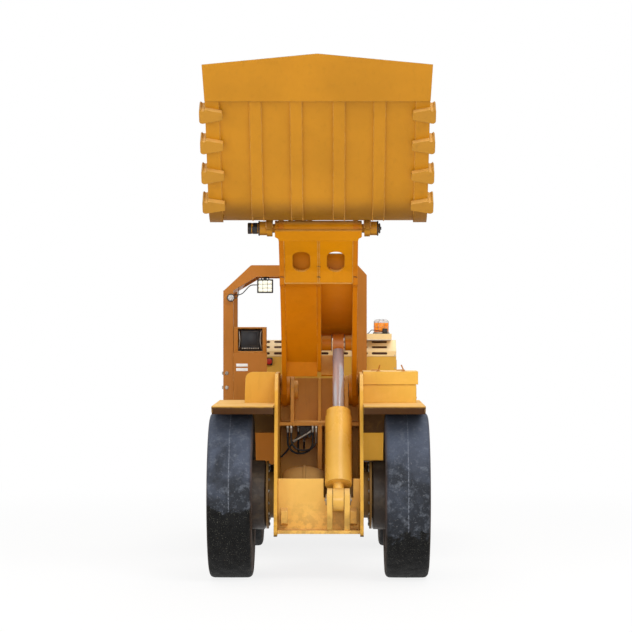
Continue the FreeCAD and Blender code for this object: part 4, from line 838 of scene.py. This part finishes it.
def work_lamp():
    """Lamp with a rounded rim, nine reflector cells, cooling fins behind and a yoke with its knob."""
    low, high, middle = corners("canopy_lamp")
    rim_top = high.z - 0.02
    bm = bmesh.new()
    box(bm, (low.x, low.y + 0.014, low.z), (high.x, high.y - 0.016, rim_top), 0.012, 3)
    for a, b in (((low.x, low.z), (low.x + 0.008, rim_top)), ((high.x - 0.008, low.z), (high.x, rim_top)),
                 ((low.x + 0.006, low.z), (high.x - 0.006, low.z + 0.008)),
                 ((low.x + 0.006, rim_top - 0.008), (high.x - 0.006, rim_top))):
        box(bm, (a[0], low.y, a[1]), (b[0], low.y + 0.02, b[1]), 0.0025)
    for k in range(8):
        x = low.x + 0.015 + k * (high.x - low.x - 0.034) / 7
        box(bm, (x, high.y - 0.02, low.z + 0.012), (x + 0.004, high.y, rim_top - 0.012), 0.001, 1)
    left, right, top = low.x + 0.036, high.x - 0.036, high.z - 0.003
    yoke = [(left, rim_top - 0.004), (left, top), (right, top), (right, rim_top - 0.004)]
    tube(bm, rounded([(x, low.y + 0.03, z) for x, z in yoke], 0.008), 0.0048, 10)
    plug(bm, [(0, 0.011), (0.003, 0.014), (0.012, 0.014), (0.014, 0.011)],
             (middle.x, low.y + 0.006, high.z - 0.015), (0, 1, 0), 18)
    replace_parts(piece("work_lamp_body", bm, "black"), "canopy_lamp")
    bm = bmesh.new()
    step_x = (high.x - low.x - 0.018) / 3
    step_z = (rim_top - low.z - 0.018) / 3
    for i in range(3):
        for j in range(3):
            x = low.x + 0.009 + i * step_x
            z = low.z + 0.009 + j * step_z
            box(bm, (x + 0.0012, low.y + 0.008, z + 0.0012),
                    (x + step_x - 0.0012, low.y + 0.016, z + step_z - 0.0012), 0.004)
            turned(bm, [(0, 0.0), (0.001, 0.006), (0.0035, 0.011), (0.0045, 0.0135), (0.007, 0.0135)],
                       (x + step_x / 2, low.y + 0.003, z + step_z / 2), (0, 1, 0), 20)
    piece("work_lamp_cells", bm, "lens")


def post_fittings():
    """Small round lamp with its stalk on the left front post, and the bolts in two faces of the post."""
    low = corners("canopy")[0]
    bm = bmesh.new()
    at = Vector((-0.722, low.y, 2.111))
    plug(bm, [(0, 0.02), (0.004, 0.022), (0.01, 0.012), (0.018, 0.012), (0.022, 0.026), (0.034, 0.032),
                  (0.04, 0.032), (0.041, 0.029), (0.036, 0.026)], at, AHEAD)
    stalk = [(0, -0.012, 0), (0.05, -0.014, -0.004), (0.062, 0.012, 0.03), (0.062, 0.03, 0.09)]
    tube(bm, rounded([at + Vector(p) for p in stalk], 0.02), 0.003)
    piece("post_lamp_body", bm, "black")
    bm = bmesh.new()
    turned(bm, [(0, 0), (0.0015, 0.012), (0.004, 0.02), (0.008, 0.0255), (0.008, 0)],
               at + Vector((0, -0.0445, 0)), (0, 1, 0), 28)
    piece("post_lamp_glass", bm, "clear")
    bm = bmesh.new()
    for z in (1.499, 1.383):
        bolt(bm, (low.x, low.y + 0.037, z), (-1, 0, 0), 0.013, 0.3)
        bolt(bm, (low.x + 0.029, low.y, z), AHEAD, 0.0125, 0.3)
    piece("post_bolts", bm, "bolt")


def instrument():
    """Open-fronted housing, with the display unit, its bezel, keys and grab bars inside it."""
    low, high, _ = corners("monitor_housing")
    wall, left_wall, right_wall = 0.012, 0.034, 0.03
    x0, x1 = low.x + left_wall - 0.001, high.x - right_wall + 0.001
    bm = bmesh.new()
    box(bm, low, (low.x + left_wall, high.y, high.z), 0.002)
    box(bm, (high.x - right_wall, low.y, low.z), high, 0.002)
    for y0, z0, z1 in ((low.y, high.z - wall, high.z), (low.y, low.z, low.z + wall),
                       (high.y - wall, low.z + wall, high.z - wall)):
        box(bm, (x0, y0, z0), (x1, high.y, z1), 0.001, 1)
    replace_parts(piece("instrument_housing", bm, "canopy"), "monitor_housing")
    left, right, y = low.x + 0.04, high.x - 0.036, low.y
    bm = bmesh.new()
    box(bm, (left + 0.012, y + 0.03, low.z + 0.02), (right - 0.012, y + 0.115, high.z - 0.02), 0.012, 3)
    box(bm, (left + 0.018, y + 0.022, low.z + 0.052), (right - 0.03, y + 0.034, high.z - 0.028), 0.006)
    box(bm, (low.x + left_wall, y + 0.06, low.z + wall), (high.x - right_wall, y + 0.13, low.z + 0.024),
            0.002, 1)
    piece("instrument_unit", bm, "black")
    bm = bmesh.new()
    box(bm, (left + 0.026, y + 0.0195, low.z + 0.062), (right - 0.04, y + 0.026, high.z - 0.038), 0.003)
    piece("instrument_screen", bm, "screen")
    bm = bmesh.new()
    for k in range(8):
        x = left + 0.026 + k * 0.018
        box(bm, (x, y + 0.024, low.z + 0.03), (x + 0.012, y + 0.034, low.z + 0.04), 0.003)
    for x, lean in ((left + 0.004, 0.006), (right - 0.008, -0.006)):
        bar = [(x - lean, y + 0.034, high.z - 0.024), (x, y + 0.014, high.z - 0.04),
               (x + lean, y + 0.012, low.z + 0.1), (x, y + 0.014, low.z + 0.05),
               (x - lean, y + 0.034, low.z + 0.028)]
        tube(bm, rounded(bar, 0.012), 0.0042, 10)
    piece("instrument_keys", bm, "bolt")
    front = corners("cab_tub")[0].y
    bm = bmesh.new()
    for z in (1.553, 1.517):
        box(bm, (-0.68, front - 0.0025, z), (-0.586, front + 0.001, z + 0.024), 0.002)
    piece("blank_plates", bm, "plate")


def stop_button():
    """Red stop knob on a small black box at the hood's front."""
    y = corners("engine_hood")[0].y
    bm = bmesh.new()
    box(bm, (-0.466, y - 0.03, 1.545), (-0.408, y + 0.001, 1.61), 0.005)
    piece("stop_box", bm, "black")
    bm = bmesh.new()
    turned(bm, [(0, 0.012), (0.008, 0.012), (0.01, 0.023), (0.018, 0.025), (0.024, 0.02), (0.027, 0.0)],
               (-0.437, y - 0.03, 1.578), AHEAD, 28)
    piece("stop_knob", bm, "red")


def beacon():
    """Amber fluted lens under a clear cap, on a turned foot, inside a wire guard."""
    low, _, middle = corners("beacon_lens")
    r = 0.0625
    foot = Vector((middle.x + 0.014, middle.y, low.z))
    bm = bmesh.new()
    turned(bm, [(0.018, 0), (0.018, r * 0.96), (0.024, r), (0.09, r * 0.98), (0.093, r * 0.96), (0.093, 0)],
               foot, UP, 96, lambda a: 1.0 + 0.016 * cos(a * 24))
    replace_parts(piece("beacon_amber_lens", bm, "amber"), "beacon_lens")
    bm = bmesh.new()
    turned(bm, [(0.0935, 0), (0.0935, r * 0.98), (0.104, r * 0.95), (0.111, r * 0.82), (0.116, r * 0.5),
                    (0.118, 0)], foot, UP, 64)
    piece("beacon_cap", bm, "clear")
    bm = bmesh.new()
    plug(bm, [(0, r * 1.12), (0.006, r * 1.14), (0.013, r * 1.06), (0.0175, r * 0.9)], foot, UP, 64)

    def bar(angle, places):
        return [foot + Vector((d * cos(angle), d * sin(angle), z)) for d, z in places]

    ring = [bar(a, [(r + 0.004, 0.058)])[0] for a in circle(48) + [2 * pi]]
    tube(bm, ring, 0.0013)
    for a in circle(8, 0.5):
        hoop = bar(a, ((r + 0.0045, 0.004), (r + 0.0045, 0.106), (r - 0.012, 0.1205), (0.004, 0.1225)))
        tube(bm, rounded(hoop, 0.008), 0.0013)
    piece("beacon_guard", bm, "bolt")
    start = corners("beacon_base")[0].y
    bm = bmesh.new()
    box(bm, (0.522, start + 0.004, low.z), (0.566, start + 0.04, low.z + 0.046), 0.004)
    lead = [(0.524, 0.018, 0.022), (0.428, 0.02, 0.034), (0.412, 0.018, 0.012), (0.4, 0.026, 0.003),
            (0.398, 0.08, 0.004)]
    tube(bm, rounded([(x, start + y, low.z + z) for x, y, z in lead], 0.012), 0.0032)
    piece("beacon_relay", bm, "black")


def seat_pads():
    """Padded vinyl seat: the plain pads are blown up by a short cloth run, then quilted."""
    source = NODES["seat_cushions"]
    low, high, middle = corners("seat_cushions")
    split_z, base_z, back_z = 1.111, 1.07, 1.3
    shrink, most, proud = 0.96, 0.024, 0.002
    groove_y, groove_wide, groove_deep = 0.082, 0.012, 0.006
    bm = bmesh.new()
    bm.from_mesh(source.data)
    bm.transform(source.matrix_world)
    bmesh.ops.remove_doubles(bm, verts=bm.verts, dist=0.0001)
    for v in bm.verts:
        centre = Vector((middle.x, middle.y, base_z if v.co.z < split_z else back_z))
        v.co = centre + (v.co - centre) * shrink
    o = link("seat_pads", meshed("seat_pads", bm))
    remesh = o.modifiers.new("remesh", "REMESH")
    remesh.mode = "VOXEL"
    remesh.voxel_size = 0.006
    apply(o, remesh)
    start = [v.co.copy() for v in o.data.vertices]
    cloth = o.modifiers.new("cloth", "CLOTH")
    cloth.settings.use_pressure = True
    cloth.settings.uniform_pressure_force = 4.0
    cloth.settings.effector_weights.gravity = 0.0
    for f in range(1, 21):
        bpy.context.scene.frame_set(f)
    apply(o, cloth)
    bpy.context.scene.frame_set(1)
    for v, s in zip(o.data.vertices, start):
        move = v.co - s
        if move.length > most:
            v.co = s + move * (most / move.length)
    for v in o.data.vertices:
        for k in (0, 1, 2):
            v.co[k] = min(max(v.co[k], low[k] - proud), high[k] + proud)
        groove = min(abs(v.co.y - middle.y - d) for d in (-groove_y, groove_y))
        if groove < groove_wide:
            into = Vector((0, 0, -groove_deep)) if v.co.z < 1.115 else Vector((-groove_deep, 0, 0))
            if 1.095 < v.co.z < 1.125 or v.co.x > -0.7 and v.co.z > 1.125:
                v.co += into * (1 - groove / groove_wide)
    even = o.modifiers.new("even", "SMOOTH")
    even.iterations = 3
    apply(o, even)
    apply(o, o.modifiers.new("fine", "SUBSURF"))
    smooth(o, "vinyl", "rear_frame")
    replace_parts(o, "seat_cushions")


work_lamp()
post_fittings()
instrument()
stop_button()
beacon()
seat_pads()


# ---- engine end

def hood_fittings():
    """Door handles and hinges, and the bolts along the hood's front."""
    for side, out in (("left", -1), ("right", 1)):
        low, high, _ = corners("hood_door_" + side)
        x = high.x if out > 0 else low.x
        turn = Vector(HINGES["hood_door_hinge_" + side])
        bm = bmesh.new()
        for y in (low.y + 0.16, high.y - 0.16):
            grip = [(x + d * out, y + e, low.z + 0.05)
                    for d, e in ((0, -0.05), (0.022, -0.05), (0.022, 0.05), (0, 0.05))]
            tube(bm, rounded(grip, 0.01), 0.0055, 10)
            plug(bm, [(0, 0.006), (0.001, 0.007), (0.079, 0.007), (0.08, 0.006)],
                     (turn.x, y - 0.04, turn.z), (0, 1, 0), 16)
        piece("hood_door_fittings_" + side, bm, "bolt", "hood_door_" + side)
    low = corners("engine_hood")[0]
    bm = bmesh.new()
    for k in range(7):
        bolt(bm, (-0.6 + k * 0.2, low.y, low.z + 0.035), AHEAD, 0.009, k)
    for x in (-0.628, 0.628):
        for z in (1.4, 1.52, 1.63):
            bolt(bm, (x, low.y, z), AHEAD, 0.0065, z * 9)
    piece("hood_bolts", bm, "bolt")


def strip(line, x0, x1, inner, outer):
    """Bent sheet across the machine; line holds (y, z) points and the sheet lies in front of them."""
    points = [Vector((0, *p)) for p in line]
    rings = []
    for i, p in enumerate(points):
        ahead = (points[min(i + 1, len(points) - 1)] - points[max(i - 1, 0)]).normalized()
        out = Vector(ACROSS).cross(ahead)
        rings.append([p + out * d + Vector((x, 0, 0))
                      for x, d in ((x0, inner), (x1, inner), (x1, outer), (x0, outer))])
    bm = bmesh.new()
    skin(bm, rings)
    return bm


def hood_front():
    """Pressed front panel in two sheets, the upper one pale cream as a painted light on its slope and pierced
    by three rows of slots.
    """
    y = corners("engine_hood")[0].y
    fold_z, half = 1.665, 0.639
    slope = Vector((0, 0.13, 0.095)).normalized()
    fold = Vector((0, y, fold_z))
    top = fold + slope * 0.148
    lower = [(y, 1.3), (y, 1.46), (y, 1.6185)]
    upper = [(y, 1.62), (y, fold_z - 0.001), (y + 0.003, fold_z + 0.003), tuple(top.yz)]
    piece("hood_front_lower", strip(lower, -half, half, 0.0012, 0.0045), "hood")
    sheet = piece("hood_front_upper", strip(upper, -half, half, 0.0015, 0.0055), "pale_cream", "rear_frame")
    cutter = bmesh.new()
    for z, tall in ((1.646, 0.01), (1.694, 0.0158), (1.738, 0.0158)):
        lean, at = Vector(UP), Vector((0, y, z))
        if z > fold_z:
            lean, at = slope, fold + slope * ((z - fold_z) / slope.z)
        out = Vector(ACROSS).cross(lean)
        for k in range(7):
            middle = at + Vector((0.4985 - 0.166 * k, 0, 0))
            oval = [middle + lean * tall * sin(a)
                    + Vector((copysign(0.055, cos(a)) + 0.0105 * cos(a), 0, 0))
                    for a in circle(20, 0.5)]
            skin(cutter, [[p + out * d for p in oval] for d in (-0.01, 0.02)])
    bmesh.ops.recalc_face_normals(cutter, faces=cutter.faces)
    tool = link("cutter", meshed("cutter", cutter))
    cut = sheet.modifiers.new("slots", "BOOLEAN")
    cut.solver = "EXACT"
    cut.object = tool
    apply(sheet, cut)
    bpy.data.objects.remove(tool)
    # Dark sheet behind the slots, a painted shade that makes them look deep.
    piece("hood_slot_shade_sheet", strip(upper, -0.63, 0.63, 0.0002, 0.0012), "dark")


def radiator_fins():
    """Fins and side channels on the radiator's rear face."""
    low, high, _ = corners("radiator")
    bm = bmesh.new()
    count = 34
    for k in range(count):
        z = low.z + 0.014 + k * (high.z - low.z - 0.028) / (count - 1)
        box(bm, (low.x + 0.018, high.y - 0.001, z - 0.0022), (high.x - 0.018, high.y + 0.005, z + 0.0022))
    for x in (low.x, high.x - 0.02):
        box(bm, (x, high.y - 0.001, low.z), (x + 0.02, high.y + 0.008, high.z), 0.003)
    piece("radiator_fins", bm, "black")


def engine_fittings():
    """Rocker cover with its bolts and filler cap, and a pipe, over the plain engine block."""
    top = corners("engine_block")[1].z
    cover = top + 0.05
    bm = bmesh.new()
    box(bm, (-0.13, 1.6, top - 0.004), (0.13, 2.42, cover), 0.018, 3)
    for k in range(6):
        for x in (-0.1, 0.1):
            bolt(bm, (x, 1.66 + k * 0.14, cover), UP, 0.008, k)
    plug(bm, [(0, 0.03), (0.004, 0.034), (0.01, 0.034), (0.012, 0.014), (0.026, 0.014)], (0.0, 1.78, cover),
             UP, 24)
    pipe = [(0.22, y, top + rise) for y, rise in ((1.62, -0.01), (1.62, 0.07), (2.3, 0.07), (2.3, -0.01))]
    tube(bm, rounded(pipe, 0.06, 8), 0.028, 20)
    piece("engine_fittings", bm, "iron")


hood_fittings()
hood_front()
radiator_fins()
engine_fittings()


# ---- stage, light, camera

def stage():
    """White floor that takes a soft shadow near the machine and is plain white away from it."""
    t = material("floor")
    path = t.node("LightPath").outputs
    seen = t.math("MAXIMUM", path["Is Camera Ray"], path["Is Glossy Ray"])
    share = t.times(seen, t.ramp(t.length(t.coord()), 2.5, 9.0, 0.84, 1.0))
    diffuse = t.node("BsdfDiffuse", {"Color": (0.86, 0.86, 0.86)}).outputs[0]
    glow = t.node("Emission", {"Strength": 1.0}).outputs[0]
    reach = 90
    mesh = bpy.data.meshes.new("floor")
    mesh.from_pydata([(-reach, -reach, 0), (reach, -reach, 0), (reach, reach, 0), (-reach, reach, 0)], [],
                     [(0, 1, 2, 3)])
    floor = link("floor", mesh)
    mesh.materials.append(t.finish(t.node("MixShader", {0: share, 1: diffuse, 2: glow})))


def world():
    """Warm light all round; the camera and rays through glass see white."""
    t = Tree(bpy.data.worlds.new("studio"))
    bpy.context.scene.world = t.owner
    path = t.node("LightPath").outputs
    seen = t.math("MAXIMUM", path["Is Camera Ray"], path["Is Transmission Ray"])
    soft = t.node("Background", {"Color": (1.0, 0.985, 0.96), "Strength": 0.55}).outputs[0]
    white = t.node("Background", {"Color": (1.0, 1.0, 1.0), "Strength": 1.0}).outputs[0]
    t.finish(t.node("MixShader", {0: seen, 1: soft, 2: white}), "World")


def area(name, place, aim, size, power):
    data = bpy.data.lights.new(name, "AREA")
    data.shape = "RECTANGLE"
    data.size, data.size_y = size
    data.energy = power
    o = link(name, data)
    o.location = place
    o.rotation_mode = "QUATERNION"
    o.rotation_quaternion = (Vector(aim) - Vector(place)).to_track_quat("-Z", "Y")


def camera():
    data = bpy.data.cameras.new("camera")
    data.sensor_width = 36.0
    data.lens = 138.48
    data.clip_end = 200.0
    o = link("camera", data)
    o.location = (0.111, -19.29, 1.963)
    o.rotation_euler = (radians(90), 0, radians(0.42))
    bpy.context.scene.camera = o


stage()
world()
area("key", (4.0, -9.0, 9.0), (0.0, -0.5, 1.6), (5.0, 5.0), 580)
area("fill", (-6.0, -9.0, 4.0), (0.0, -0.5, 1.5), (6.0, 5.0), 240)
area("front", (0.5, -15.0, 3.2), (0.0, -0.5, 1.3), (3.0, 4.0), 330)
area("top", (0.0, 1.0, 8.5), (0.0, 0.5, 1.0), (7.0, 7.0), 360)
camera()
bpy.context.scene.view_settings.view_transform = "Standard"
